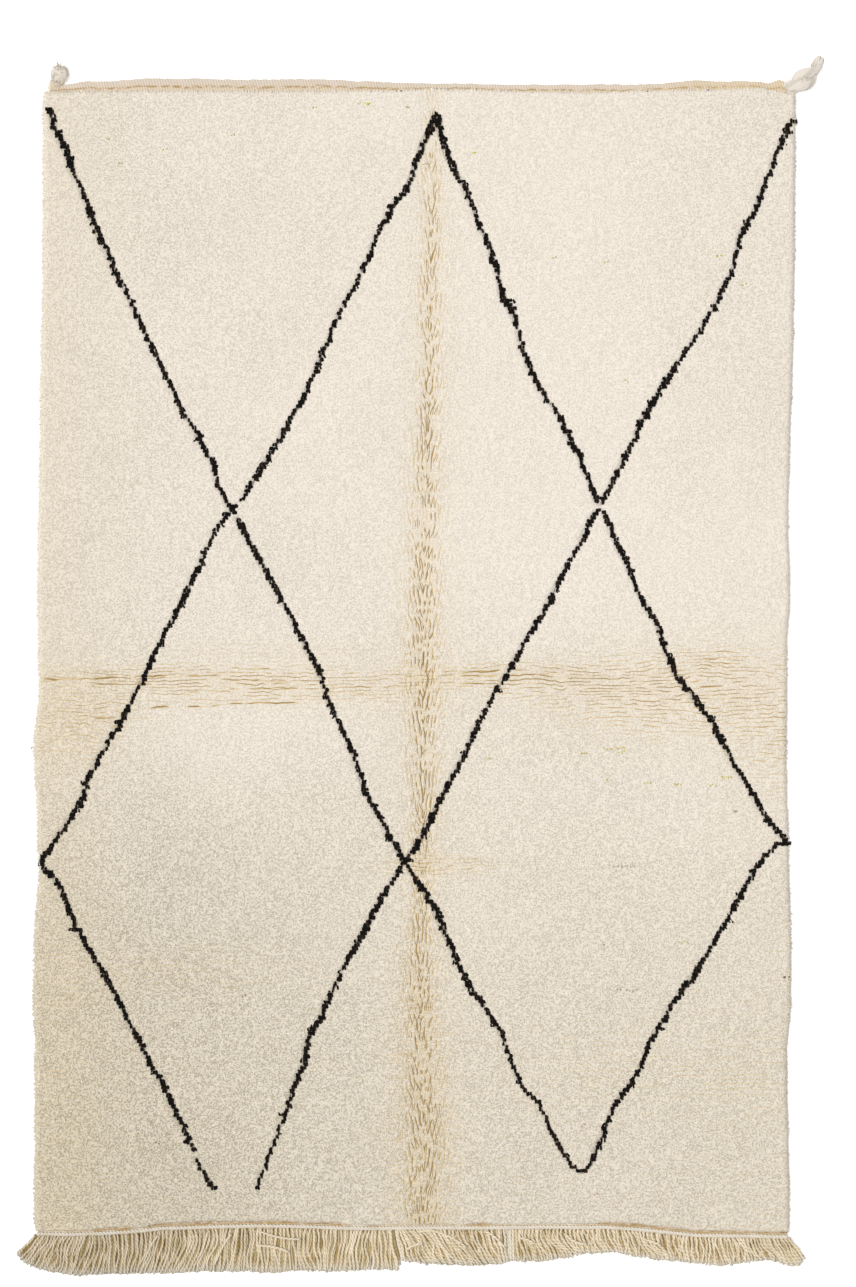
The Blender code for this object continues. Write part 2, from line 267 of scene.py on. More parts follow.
def noise(x, y, cell_x, cell_y, seed):
    """Smooth noise from -1 to 1: seeded random values on a lattice of cells, blended by a smooth step."""
    values = np.random.default_rng(seed).uniform(-1, 1, (NOISE_SIDE, NOISE_SIDE))
    gx = np.asarray(x) / cell_x
    gy = np.asarray(y) / cell_y
    ix = np.floor(gx).astype(int)
    iy = np.floor(gy).astype(int)
    fx = gx - ix
    fy = gy - iy
    fx = fx * fx * (3 - 2 * fx)
    fy = fy * fy * (3 - 2 * fy)
    x0 = ix % NOISE_SIDE
    x1 = (ix + 1) % NOISE_SIDE
    y0 = iy % NOISE_SIDE
    y1 = (iy + 1) % NOISE_SIDE
    low = values[x0, y0] * (1 - fx) + values[x1, y0] * fx
    high = values[x0, y1] * (1 - fx) + values[x1, y1] * fx
    return low * (1 - fy) + high * fy


def ripple(at, cell, seed):
    """Smooth noise from -1 to 1 along one line."""
    return noise(at, np.zeros_like(at), cell, 1.0, seed)


def step(low, high, value):
    """0 below low, 1 above high and a smooth ramp between."""
    t = np.clip((value - low) / (high - low), 0, 1)
    return t * t * (3 - 2 * t)


def bell(value, half):
    """1 at 0, falling off as a bell curve to about a third at half."""
    return np.exp(-((value / half) ** 2))


# ---------------------------------------------------------------------------------------------------------
# The rug's outline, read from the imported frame
# ---------------------------------------------------------------------------------------------------------


def node_points(name):
    """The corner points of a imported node, (n, 3), each one once."""
    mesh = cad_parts[name].data
    points = np.empty(len(mesh.vertices) * 3, np.float32)
    mesh.vertices.foreach_get("co", points)
    return np.unique(points.reshape(-1, 3).round(5), axis=0).astype(float)


def at_height(points, height, near=0.0004):
    """Those of the points that lie at one height."""
    return points[np.abs(points[:, 2] - height) < near]


def by_first(points, first, second):
    """Two coordinates of the points, sorted by the first one, as a line to read off."""
    line = points[np.argsort(points[:, first])]
    return line[:, first], line[:, second]


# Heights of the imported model's corner points that the outline is read from.
RIM_HEIGHT = 0.008
HEM_HEIGHT = 0.003
# Where the pile's grid starts and ends along the rug, before it follows the uneven ends.
LOW_Y = -1.2
HIGH_Y = 1.22
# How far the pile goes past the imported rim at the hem, and how far it draws back where the foundation shows.
OVER_HEM = 0.0035
BARE_WIDTH = 0.0055


class Outline:
    """The rug's four sides as functions: left and right of y, the pile's two ends and the hem of x."""

    def __init__(self):
        rug = node_points("rug")
        rim = at_height(rug, RIM_HEIGHT)
        hem = at_height(rug, HEM_HEIGHT)
        cord = node_points("edge_cord")
        ridge = at_height(cord, cord[:, 2].max())
        long_sides = rim[np.abs(rim[:, 1]) < 1.19]
        self.left_line = by_first(long_sides[long_sides[:, 0] < -0.7], 1, 0)
        self.right_line = by_first(long_sides[long_sides[:, 0] > 0.7], 1, 0)
        self.low_line = by_first(rim[rim[:, 1] < -1.18], 0, 1)
        self.high_line = by_first(rim[(rim[:, 1] > 1.21) & (np.abs(rim[:, 0]) < 0.79)], 0, 1)
        self.hem_line = by_first(hem[hem[:, 1] > 1.2], 0, 1)
        self.cord_line = by_first(ridge, 0, 1)
        parting = table(PARTING, PARTING_COLUMNS)
        self.parting_line = parting["y"], parting["x"]

    def left(self, y):
        return np.interp(y, *self.left_line)

    def right(self, y):
        return np.interp(y, *self.right_line)

    def strip(self, x):
        """1 where a strip of bare foundation shows between the pile and the cord, 0 elsewhere."""
        soft = 0.012
        spans = np.array(BARE_SPANS) / 1000
        shown = sum(step(a - soft, a + soft, x) * step(b + soft, b - soft, x) for a, b in spans)
        return shown * (0.70 + 0.30 * ripple(x, 0.045, 18))

    def low(self, x):
        return np.interp(x, *self.low_line) + BARE_WIDTH * self.strip(x)

    def high(self, x):
        return np.interp(x, *self.high_line) + OVER_HEM

    def hem(self, x):
        return np.interp(x, *self.hem_line)

    def cord(self, x):
        return np.interp(x, *self.cord_line)

    def parting(self, y):
        return np.interp(y, *self.parting_line)

    def place(self, across, along):
        """Plan position of a share across (0 left, 0.5 parting, 1 right) and one along (0 cord, 1 hem)."""
        y = LOW_Y + (HIGH_Y - LOW_Y) * along
        for _ in range(2):
            left, middle, right = self.left(y), self.parting(y), self.right(y)
            x = np.where(
                across < 0.5,
                left + (middle - left) * across * 2,
                middle + (right - middle) * (across * 2 - 1),
            )
            y = self.low(x) + (self.high(x) - self.low(x)) * along
        return x, y


OUTLINE = Outline()


# ---------------------------------------------------------------------------------------------------------
# The pile's relief
# ---------------------------------------------------------------------------------------------------------


# Distance between the rows of knots, and between the parted pile's strokes; how far these lean, as x for y;
# and how far out from the parting its tint reaches.
ROW_PITCH = 0.0082
STROKE_PITCH = 0.0094
STROKE_LEAN = 0.20
TINT_HALF = 0.090


def wavy_lines(phase, half):
    """1 in the middle of every whole step of a running phase, and 0 away from it."""
    return bell(phase % 1 - 0.5, half)


def dulling(x, y):
    """How dull and grey the ivory is, which also sets how strongly its grain and relief show: 0 near the hem
    on the right, 1 near the cord on the left, with soft blotches.

    Dulling = a share for left + a share for down + a share for both at once + two sizes of noise + a duller
    patch high on the right - a paler one left of the middle.
    """
    left = step(0.25, -0.80, x)
    down = step(0.40, -1.25, y)
    blotch = 0.04 * noise(x, y, 0.30, 0.24, 31) + 0.05 * noise(x, y, 0.11, 0.09, 32)
    duller = 0.15 * step(0.30, 0.75, x) * step(0.15, 0.60, y)
    paler_patch = 0.22 * bell(x + 0.45, 0.25) * bell(y + 0.10, 0.16)
    return np.clip(0.20 * left + 0.51 * down + 0.40 * left * down + blotch + (duller - paler_patch), 0, 1)


def parting_strokes(x, y):
    """The parted pile's two sets of strokes, each as a running phase, how far they open and the tinted band.

    The first set leans in towards the parting's middle as it goes down, so its phase is the distance from the
    middle less a share of y; the second runs along it. Slow and quick noise makes both wander, fork and
    break. They show as a bell curve over the parting plus a fainter, flatter one, and the tint reaches
    further out.
    """
    rows = table(PARTING, PARTING_COLUMNS)
    half = np.interp(y, rows["y"], rows["half"])
    show = np.interp(y, rows["y"], rows["show"])
    off = x - OUTLINE.parting(y)
    leaning = (np.abs(off) - STROKE_LEAN * y) / STROKE_PITCH
    leaning = leaning + 0.60 * noise(x, y, 0.045, 0.060, 12) + 0.34 * noise(x, y, 0.016, 0.018, 11)
    along = off / STROKE_PITCH + 1.00 * noise(x, y, 0.050, 0.060, 14) + 0.36 * noise(x, y, 0.018, 0.014, 17)
    broken = 0.10 + 0.90 * step(-0.35, 0.15, noise(x, y, 0.0075, 0.0090, 15))
    core = bell(off, half * 0.60)
    faint = np.exp(-((off / (half * 1.55)) ** 4))
    opening = show * (0.30 * faint + 0.80 * core) * broken
    band = show * (0.85 * core + 0.30 * bell(off, TINT_HALF))
    return leaning, along, opening, band


def row_phase(x, y):
    """The knot rows as a running phase, one whole step a row, that wanders slowly and ripples quickly."""
    slow = 1.10 * noise(x, y, 0.200, 0.070, 33) + 0.45 * noise(x, y, 0.060, 0.024, 34)
    return y / ROW_PITCH + slow + 0.26 * noise(x, y, 0.013, 0.020, 35)


def crease_depth(x, y):
    """How far the pile opens along the crosswise creases, 0 to 1.

    Each crease is a bell curve across a straight line shaken by two sizes of noise, fading at both ends.
    """
    rows = table(CREASES, CREASE_COLUMNS)
    depth = np.zeros_like(x)
    for x0, y0, x1, y1, deep, half in zip(*(rows[name] for name in CREASE_COLUMNS)):
        near = (x > x0 - 0.02) & (x < x1 + 0.02) & (np.abs(y - (y0 + y1) / 2) < 0.03)
        px, py = x[near], y[near]
        share = (px - x0) / (x1 - x0)
        line = y0 + (y1 - y0) * share
        wander = 0.0022 * noise(px, px * 0 + y0, 0.030, 1.0, 21)
        line = line + wander + 0.0011 * noise(px, px * 0 + y1, 0.011, 1.0, 22)
        ends = step(-0.05, 0.12, share) * step(-0.05, 0.12, 1 - share)
        uneven = 0.45 + 0.55 * step(-0.5, 0.4, noise(px, px * 0 + y0 * 3, 0.022, 1.0, 23))
        depth[near] = np.maximum(depth[near], deep * ends * uneven * bell(py - line, half))
    return depth


def fold_strength(x, y):
    """How strongly the knot rows show as creases: soft patches as listed, each a bell curve both ways."""
    patches = table(FOLDS, FOLD_COLUMNS)
    strength = 0.10 + 0.22 * step(-0.1, -0.9, y) + 0.10 * step(0.45, 0.85, np.abs(x)) * step(0.5, -0.2, y)
    for px, py, wide, long, show in zip(*(patches[name] for name in FOLD_COLUMNS)):
        strength = strength + show * bell(x - px, wide) * bell(y - py, long)
    return strength


def lattice_x(name, y):
    """The x of a dark line at each y: its own points joined, with a knot's worth of wander."""
    line = np.array(LATTICE[name], float)[::-1] / 1000
    x = np.interp(y, line[:, 0], line[:, 1])
    seed = 40 + list(LATTICE).index(name)
    return x + 0.0022 * ripple(y, 0.030, seed) + 0.0014 * ripple(y, 0.011, seed + 10)


def lattice_half(name, y):
    """Half the width of a dark line at each y.

    It is uneven, thinner near the cord and thicker where lines meet in the lower half, and nothing outside
    the line's ends or in its breaks.
    """
    line = np.array(LATTICE[name], float) / 1000
    seed = 60 + list(LATTICE).index(name)
    half = 0.0055 - 0.0020 * step(-0.75, -1.05, y) + 0.0014 * bell(y + 0.422, 0.022)
    half = half + 0.0016 * ripple(y, 0.060, seed) + 0.0012 * ripple(y, 0.012, seed + 10)
    inside = (y <= line[0, 0]) & (y >= line[-1, 0])
    for place, owner, reach in BREAKS:
        if owner == name:
            inside &= np.abs(y - place / 1000) > reach / 1000
    return np.where(inside, half, 0)


# ---------------------------------------------------------------------------------------------------------
# Meshes from arrays
# ---------------------------------------------------------------------------------------------------------


def unit(vectors):
    """Vectors of length 1 along the last axis."""
    return vectors / np.maximum(np.linalg.norm(vectors, axis=-1, keepdims=True), 1e-9)


def joined(*parts):
    """Several (points, faces, attributes) as one, each part's face numbers moved past the parts before it."""
    offsets = np.cumsum([0] + [len(points) for points, _, _ in parts])
    points = np.concatenate([part[0] for part in parts])
    faces = [array + offset for part, offset in zip(parts, offsets) for array in part[1]]
    names = parts[0][2]
    return points, faces, {name: np.concatenate([part[2][name] for part in parts]) for name in names}


def mesh_object(name, points, faces, attributes, material, sharp=None):
    """A smooth-shaded mesh object at the origin. faces is a list of arrays, each with one row a face."""
    mesh = bpy.data.meshes.new(name)
    mesh.vertices.add(len(points))
    mesh.vertices.foreach_set("co", points.astype(np.float32).ravel())
    totals = np.concatenate([np.full(len(array), array.shape[1]) for array in faces])
    corners = np.concatenate([array.ravel() for array in faces])
    mesh.loops.add(len(corners))
    mesh.loops.foreach_set("vertex_index", corners.astype(np.int32))
    mesh.polygons.add(len(totals))
    mesh.polygons.foreach_set("loop_start", np.concatenate([[0], np.cumsum(totals)[:-1]]).astype(np.int32))
    mesh.update(calc_edges=True)
    mesh.shade_smooth()
    for key, values in attributes.items():
        kind = "FLOAT_VECTOR" if values.ndim == 2 else "FLOAT"
        layer = mesh.attributes.new(key, kind, "POINT")
        layer.data.foreach_set("vector" if values.ndim == 2 else "value", values.astype(np.float32).ravel())
    if sharp is not None:
        ends = np.empty(len(mesh.edges) * 2, np.int32)
        mesh.edges.foreach_get("vertices", ends)
        flags = sharp[ends.reshape(-1, 2)].all(axis=1)
        mesh.attributes.new("sharp_edge", "BOOLEAN", "EDGE").data.foreach_set("value", flags)
    mesh.validate()
    mesh.materials.append(material)
    piece = bpy.data.objects.new(name, mesh)
    bpy.context.scene.collection.objects.link(piece)
    return piece


def slab(x, y, top, bottom, attributes):
    """A closed body over a grid of plan positions: its top, walls down to a flat bottom, and one bottom face.

    x, y and top are (rows, columns) arrays, with x growing along a row and y from row to row.
    """
    rows, columns = x.shape
    index = np.arange(rows * columns).reshape(rows, columns)
    surface = np.stack([index[:-1, :-1], index[:-1, 1:], index[1:, 1:], index[1:, :-1]], -1).reshape(-1, 4)
    rim = np.concatenate([index[0, :-1], index[:-1, -1], index[-1, :0:-1], index[:0:-1, 0]])
    under = np.arange(len(rim)) + rows * columns
    walls = np.stack([under, np.roll(under, -1), np.roll(rim, -1), rim], -1)
    points = np.stack([x.ravel(), y.ravel(), top.ravel()], -1)
    feet = points[rim].copy()
    feet[:, 2] = bottom
    values = {}
    for name, value in attributes.items():
        flat = value.ravel() if value.ndim == 2 else value.reshape(rows * columns, -1)
        values[name] = np.concatenate([flat, flat[rim]])
    sharp = np.zeros(len(points) + len(rim), bool)
    sharp[rim] = True
    return np.concatenate([points, feet]), [surface, walls, under[None, ::-1]], values, sharp


def tubes(paths, radii, sides, reference, flat=1.0, spin=0.0, ridge=None):
    """Closed tubes along many paths at once, with a flat cap at each end.

    A ring's point is the path's point plus radius times (cos of the angle sideways, sin of it upwards times
    flat). Sideways is square to the path and to the reference direction. ridge multiplies the radius at every
    point. Each point keeps the cos and sin of its angle, its distance along the path and that as a share.
    """
    count, rings = paths.shape[:2]
    tangent = unit(np.gradient(paths, axis=1))
    side = unit(np.cross(np.broadcast_to(np.array(reference, float), tangent.shape), tangent))
    up = np.cross(tangent, side)
    turn = np.arange(sides) * math.tau / sides + np.reshape(spin, (-1, 1))
    turn = np.broadcast_to(turn, (count, sides))[:, None, :, None]
    ring = np.cos(turn) * side[:, :, None] + flat * np.sin(turn) * up[:, :, None]
    reach = radii[:, :, None, None] * (1 if ridge is None else ridge[..., None])
    points = paths[:, :, None] + reach * ring
    index = np.arange(count * rings * sides).reshape(count, rings, sides)
    after = np.roll(index, -1, axis=2)
    walls = np.stack([index[:, :-1], after[:, :-1], after[:, 1:], index[:, 1:]], -1).reshape(-1, 4)
    caps = np.concatenate([index[:, 0, ::-1], index[:, -1]])
    gone = np.linalg.norm(np.diff(paths, axis=1), axis=2).cumsum(axis=1)
    gone = np.concatenate([np.zeros((count, 1)), gone], axis=1)
    around = np.broadcast_to(np.arange(sides) * math.tau / sides, (count, rings, sides))
    along = np.broadcast_to(gone[:, :, None], (count, rings, sides))
    yarn = np.stack([np.cos(around), np.sin(around), along], -1).reshape(-1, 3)
    share = along / np.maximum(along[:, -1:, :], 1e-9)
    return points.reshape(-1, 3), [walls, caps], {"yarn": yarn, "share": share.ravel()}


def per_tube(values, rings, sides):
    """One value a tube, repeated for each of its points."""
    return np.repeat(values, rings * sides)


# How thick a tuft is from its foot to its tip, as shares of its half width.
TUFT_LONG = (0.70, 1.0, 0.86, 0.30)
TUFT_BLUNT = (0.86, 1.0, 1.0, 0.80)
TUFT_SIDES = 4


def tufts(feet, tips, halves, profile, generator, tone):
    """Tufts of wool: four-sided drops from foot to tip, bowed a little sideways, each turned its own way."""
    share = np.linspace(0, 1, len(profile))[None, :, None]
    bow = generator.normal(0, 0.0008, (len(feet), 1, 3)) * share * (1 - share) * 4
    paths = feet[:, None] + (tips - feet)[:, None] * share + bow
    radii = halves[:, None] * np.array(profile)[None]
    spin = generator.uniform(0, math.tau, len(feet))
    points, faces, values = tubes(paths, radii, TUFT_SIDES, (0, 1, 0.05), spin=spin)
    values["tone"] = per_tube(tone, len(profile), TUFT_SIDES)
    return points, faces, values


# ---------------------------------------------------------------------------------------------------------
# Materials
# ---------------------------------------------------------------------------------------------------------


def shade(red, green, blue):
    """A linear colour from display values of 0 to 255."""
    share = [v / 255 for v in (red, green, blue)]
    return tuple(v / 12.92 if v <= 0.04045 else ((v + 0.055) / 1.055) ** 2.4 for v in share)


class Value:
    """A node's output socket that can be used in sums: each operator adds a Math node."""

    def __init__(self, finish, socket):
        self.finish = finish
        self.socket = socket

    def maths(self, operation, *values, clamp=False):
        settings = {"operation": operation, "use_clamp": clamp}
        return self.finish.node("ShaderNodeMath", settings, dict(enumerate(values)))

    def of(self, operation):
        """A Math node of this one value, such as its sine."""
        return self.maths(operation, self)

    def __add__(self, other):
        return self.maths("ADD", self, other)

    def __radd__(self, other):
        return self.maths("ADD", other, self)

    def __sub__(self, other):
        return self.maths("SUBTRACT", self, other)

    def __rsub__(self, other):
        return self.maths("SUBTRACT", other, self)

    def __mul__(self, other):
        return self.maths("MULTIPLY", self, other)

    def __rmul__(self, other):
        return self.maths("MULTIPLY", other, self)

    def ramp(self, low, high):
        """0 at low, 1 at high, smooth between; low may be the larger one."""
        settings = {"interpolation_type": "SMOOTHSTEP", "clamp": True}
        return self.finish.node("ShaderNodeMapRange", settings, {0: self, 1: low, 2: high, 3: 0.0, 4: 1.0})

    def clamped(self):
        return self.maths("ADD", self, 0.0, clamp=True)


class Finish:
    """A material on a Principled BSDF, with the constant settings put on the shader's own sockets."""

    def __init__(self, name, roughness, sheen=0.0, specular=0.2):
        self.material = bpy.data.materials.new(name)
        self.material.use_nodes = True
        self.tree = self.material.node_tree
        self.shader = self.tree.nodes["Principled BSDF"]
        self.shader.inputs["Roughness"].default_value = roughness
        self.shader.inputs["Specular IOR Level"].default_value = specular
        self.shader.inputs["Sheen Weight"].default_value = sheen
        self.shader.inputs["Sheen Roughness"].default_value = 0.6

    def node(self, kind, settings, inputs, output=0):
        """A node of a kind: its settings first, then the value or link of each input. Returns one output."""
        made = self.tree.nodes.new(kind)
        for key, value in settings.items():
            setattr(made, key, value)
        for key, value in inputs.items():
            if isinstance(value, Value):
                self.tree.links.new(value.socket, made.inputs[key])
            else:
                made.inputs[key].default_value = value
        return Value(self, made.outputs[output])

    def place(self, stretch=(1, 1, 1), turn=0.0):
        """Object coordinates, stretched and turned about the upright axis."""
        where = self.node("ShaderNodeTexCoord", {}, {}, "Object")
        inputs = {"Vector": where, "Rotation": (0, 0, turn), "Scale": stretch}
        return self.node("ShaderNodeMapping", {}, inputs)

    def split(self, vector, axis):
        return self.node("ShaderNodeSeparateXYZ", {}, {0: vector}, axis)

    def attribute(self, name, output="Fac"):
        return self.node("ShaderNodeAttribute", {"attribute_name": name}, {}, output)

    def noise(self, vector, scale, detail=2.0, rough=0.5):
        inputs = {"Vector": vector, "Scale": scale, "Detail": detail, "Roughness": rough}
        return self.node("ShaderNodeTexNoise", {}, inputs, "Fac")

    def mix(self, factor, first, second):
        """Two colours mixed by a factor."""
        settings = {"data_type": "RGBA", "clamp_factor": True}
        first = first if isinstance(first, Value) else (*first, 1.0)
        second = second if isinstance(second, Value) else (*second, 1.0)
        return self.node("ShaderNodeMix", settings, {0: factor, 6: first, 7: second}, 2)

    def lit(self, colour, factor):
        """A colour made lighter or darker: it is scaled by the factor."""
        return self.node("ShaderNodeVectorMath", {"operation": "SCALE"}, {0: colour, "Scale": factor})

    def finish(self, colour, height=None, distance=0.001, strength=1.0):
        """Connects the colour, and a bump from a height."""
        self.tree.links.new(colour.socket, self.shader.inputs["Base Color"])
        if height is not None:
            inputs = {"Height": height, "Distance": distance, "Strength": strength}
            bump = self.node("ShaderNodeBump", {}, inputs)
            self.tree.links.new(bump.socket, self.shader.inputs["Normal"])
        return self.material


def stroke(phase, wide=0.14, core=0.02):
    """1 along the middle of every whole step of a running phase, 0 away from it."""
    return (phase.of("FRACT") - 0.5).of("ABSOLUTE").ramp(wide, core)


def wool_material(colours):
    """Cut pile: ivory that turns duller and greyer towards the lower left, curls, knot rows, tan depths and
    the dark lines' black wool.

    The gaps between curls are the places where a smooth noise crosses its middle value; they are painted
    darker as shade, and one side of each gap carries a painted highlight. The tan where the pile opens is the
    wool's deeper tan plus painted shade. Strokes and rows come from running phases kept in attributes.
    """
    finish = Finish("ivory_pile", 0.95, sheen=0.12, specular=0.1)
    worn = finish.attribute("worn")
    curls = finish.noise(finish.place((0.86, 1.20, 1.0)), 158.0, 1.0, 0.55)
    fibres = finish.noise(finish.place((1.0, 0.85, 1.0)), 290.0, 1.0, 0.70)
    dashes = finish.noise(finish.place((0.27, 1.0, 1.0)), 112.0, 1.0, 0.5)
    # Painted shade: the gaps between curls are darkened towards grey tan; they are also sunk in the bump.
    shaded_gaps = (curls - 0.5).of("ABSOLUTE").ramp(0.070, 0.004) * fibres.ramp(0.66, 0.42)
    base = finish.mix(worn, colours.ivory, colours.worn_ivory)
    # Painted highlight: a thin paler line along one side of each gap between curls, an emboss that does not
    # follow the lamp.
    painted_highlight_rims = curls.ramp(0.51, 0.56) * curls.ramp(0.64, 0.57)
    colour = finish.lit(base, 0.99 + (0.30 + 0.32 * worn) * (fibres - 0.48) + (0.03 + 0.06 * worn) * painted_highlight_rims)
    colour = finish.mix((0.16 + 0.52 * worn) * shaded_gaps, colour, colours.gap_shade_tan)
    parting = finish.attribute("parting", "Vector")
    leaning = stroke(finish.split(parting, 0))
    along = stroke(finish.split(parting, 1), 0.13)
    cracks = leaning.maths("MAXIMUM", leaning, 0.85 * along) * finish.split(parting, 2)
    rows = finish.attribute("rows", "Vector")
    folds = finish.split(rows, 1)
    lines = stroke(finish.split(rows, 0), 0.18) * dashes.ramp(0.30, 0.60) * folds
    creases = finish.split(rows, 2).ramp(0.12, 0.85) * (0.55 + 0.8 * dashes)
    opened = (cracks * (0.66 + 0.8 * fibres) + creases + 0.74 * lines).clamped()
    band = finish.attribute("band")
    left = finish.split(finish.place(), 0).ramp(-0.56, -0.80)
    # The parting band and the fold patches turn soft tan: the wool's deeper tan plus painted shade. The left
    # side is tinted soft tan as well.
    colour = finish.mix((0.24 * band + 0.17 * folds + 0.13 * left).clamped(), colour, colours.soft_tan)
    # Where the pile opens, in cracks, creases and row lines, it turns soft tan and then deep tan: the wool's
    # deeper tan plus painted shade in the opening.
    colour = finish.mix(opened.ramp(0.03, 0.50), colour, colours.soft_tan)
    colour = finish.mix(0.95 * opened.ramp(0.26, 0.86), colour, colours.deep_tan)
    colour = finish.mix(finish.attribute("dark"), colour, colours.black)
    height = (0.40 + 0.30 * worn) * fibres + 0.12 * curls - (0.26 + 0.50 * worn) * shaded_gaps - 0.5 * opened
    return finish.finish(colour, height, distance=0.0026, strength=0.75)


def tuft_material(colours):
    """Single ivory tufts at the edges: the pile's own colours, soft tan at the foot for the wool's deeper tan
    and painted shade, each tuft a little lighter or darker.
    """
    finish = Finish("ivory_tufts", 0.95, sheen=0.12, specular=0.1)
    fibres = finish.noise(finish.place((1.0, 1.0, 0.5)), 420.0, 3.0, 0.65)
    base = finish.mix(finish.attribute("worn"), colours.ivory, colours.worn_ivory)
    tone = finish.attribute("tone")
    share = finish.attribute("share")
    # Each tuft turns soft tan towards its foot, where it goes into the pile: the wool's deeper tan plus
    # painted shade.
    colour = finish.mix(share.ramp(0.5, 0.0), base, colours.soft_tan)
    colour = finish.lit(colour, 0.90 + 0.14 * tone + 0.14 * (fibres - 0.5))
    return finish.finish(colour, fibres, distance=0.0008, strength=0.7)


def black_material(colours):
    """The lattice's wool: near-black, with single browner knots and a faint fibre grain."""
    finish = Finish("black_knots", 0.9, sheen=0.03, specular=0.15)
    fibres = finish.noise(finish.place((1.0, 0.5, 1.0)), 500.0, 2.0, 0.6)
    tone = finish.attribute("tone")
    colour = finish.mix(tone.ramp(0.75, 1.0), colours.black, colours.brown_black)
    colour = finish.lit(colour, 0.7 + 0.6 * fibres)
    return finish.finish(colour, fibres, distance=0.0006, strength=0.6)


def fleck_material(colours):
    """Single knots of stray wool, each with its own colour from an attribute."""
    finish = Finish("stray_wool", 0.9, sheen=0.1, specular=0.1)
    fibres = finish.noise(finish.place(), 450.0, 2.0, 0.6)
    colour = finish.lit(finish.attribute("hue", "Vector"), 0.85 + 0.3 * fibres)
    return finish.finish(colour, fibres, distance=0.0006, strength=0.6)


def yarn_material(name, light, dark, tip, pitch, groove_shade, duller):
    """Plied yarn: two plies that wind round the strand, a groove between them that is painted darker as shade,
    lighter or darker by strand.

    pitch is the length of a full turn; the setting after it is how much painted shade darkens the groove; and
    duller how much darker the yarn is at the rug's left side. The plies come from sin(2 * angle + turn *
    length), written out so that it closes round the strand.
    """
    finish = Finish(name, 0.9, sheen=0.1, specular=0.15)
    yarn = finish.attribute("yarn", "Vector")
    cosine = finish.split(yarn, 0)
    sine = finish.split(yarn, 1)
    turned = finish.split(yarn, 2) * (math.tau / pitch)
    twist = (2 * sine * cosine) * turned.of("COSINE") + (1 - 2 * sine * sine) * turned.of("SINE")
    groove = twist.ramp(-0.15, -0.95)
    fibres = finish.noise(finish.place((1.0, 0.35, 1.0)), 520.0, 3.0, 0.6)
    blotch = finish.noise(finish.place(), 38.0, 2.0)
    tone = finish.attribute("tone")
    share = finish.attribute("share")
    across = finish.split(finish.place(), 0)
    paler = across.ramp(-0.75, 0.75)
    left = across.ramp(-0.15, -0.75)
    colour = finish.mix((0.85 * tone + 0.10 * paler + 0.8 * (blotch - 0.5)).clamped(), dark, light)
    colour = finish.mix(share.ramp(0.72, 1.0) * 0.75, colour, tip)
    # Painted shade: the colour is darkened in the groove between the plies, on top of the groove's bump.
    colour = finish.lit(colour, 1.0 + 0.22 * (fibres - 0.5) - groove_shade * groove - duller * left)
    height = 0.4 * fibres - 1.0 * groove
    return finish.finish(colour, height, distance=0.0011, strength=0.8)


# Where the hem's darkest dashes lie, as a share of its width from the pile.
SEAM_SHARE = 0.53


def hem_material(colours):
    """Flat weave: ribs across a finer weft, paler along the outer strip, with dashes, darkest along a seam.

    strip runs from 0 at the pile to 1 at the edge. The ribs are sines of a slanted and of a straight
    distance.
    """
    finish = Finish("woven_hem", 0.9, sheen=0.1, specular=0.15)
    where = finish.place()
    x = finish.split(where, 0)
    y = finish.split(where, 1)
    ribs = (x * 1050.0 + y * 300.0).of("SINE")
    weft = (y * 1900.0).of("SINE")
    strip = finish.attribute("strip")
    fibres = finish.noise(where, 420.0, 3.0, 0.65)
    wander = finish.noise(finish.place((0.6, 1.0, 1.0)), 60.0, 2.0) - 0.5
    line = (strip + 0.34 * wander - SEAM_SHARE).of("ABSOLUTE")
    dashes = finish.noise(finish.place((0.55, 1.0, 1.0), -0.5), 150.0, 2.0, 0.5)
    dark = line.ramp(0.12, 0.01) * dashes.ramp(0.36, 0.58)
    colour = finish.mix(strip.ramp(0.45, 0.80), colours.hem_inner, colours.hem_outer)
    colour = finish.mix(0.36 * dashes.ramp(0.50, 0.66) * strip.ramp(0.98, 0.60), colour, colours.soft_tan)
    colour = finish.mix(0.70 * dark, colour, colours.deep_tan)
    colour = finish.mix(0.35 * x.ramp(0.35, 0.75), colour, colours.soft_tan)
    colour = finish.lit(colour, 0.97 + 0.075 * ribs + 0.26 * (fibres - 0.5))
    height = 0.6 * ribs + 0.25 * weft + 0.3 * fibres
    return finish.finish(colour, height, distance=0.0009, strength=0.7)


# ---------------------------------------------------------------------------------------------------------
# Settings
# ---------------------------------------------------------------------------------------------------------


def colour_property(name, description, default):
    return bpy.props.FloatVectorProperty(
        name=name, description=description, subtype="COLOR", size=3, min=0, max=1, default=default
    )


def length_property(name, description, default):
    return bpy.props.FloatProperty(
        name=name, description=description, default=default, unit="LENGTH", subtype="DISTANCE", precision=4
    )


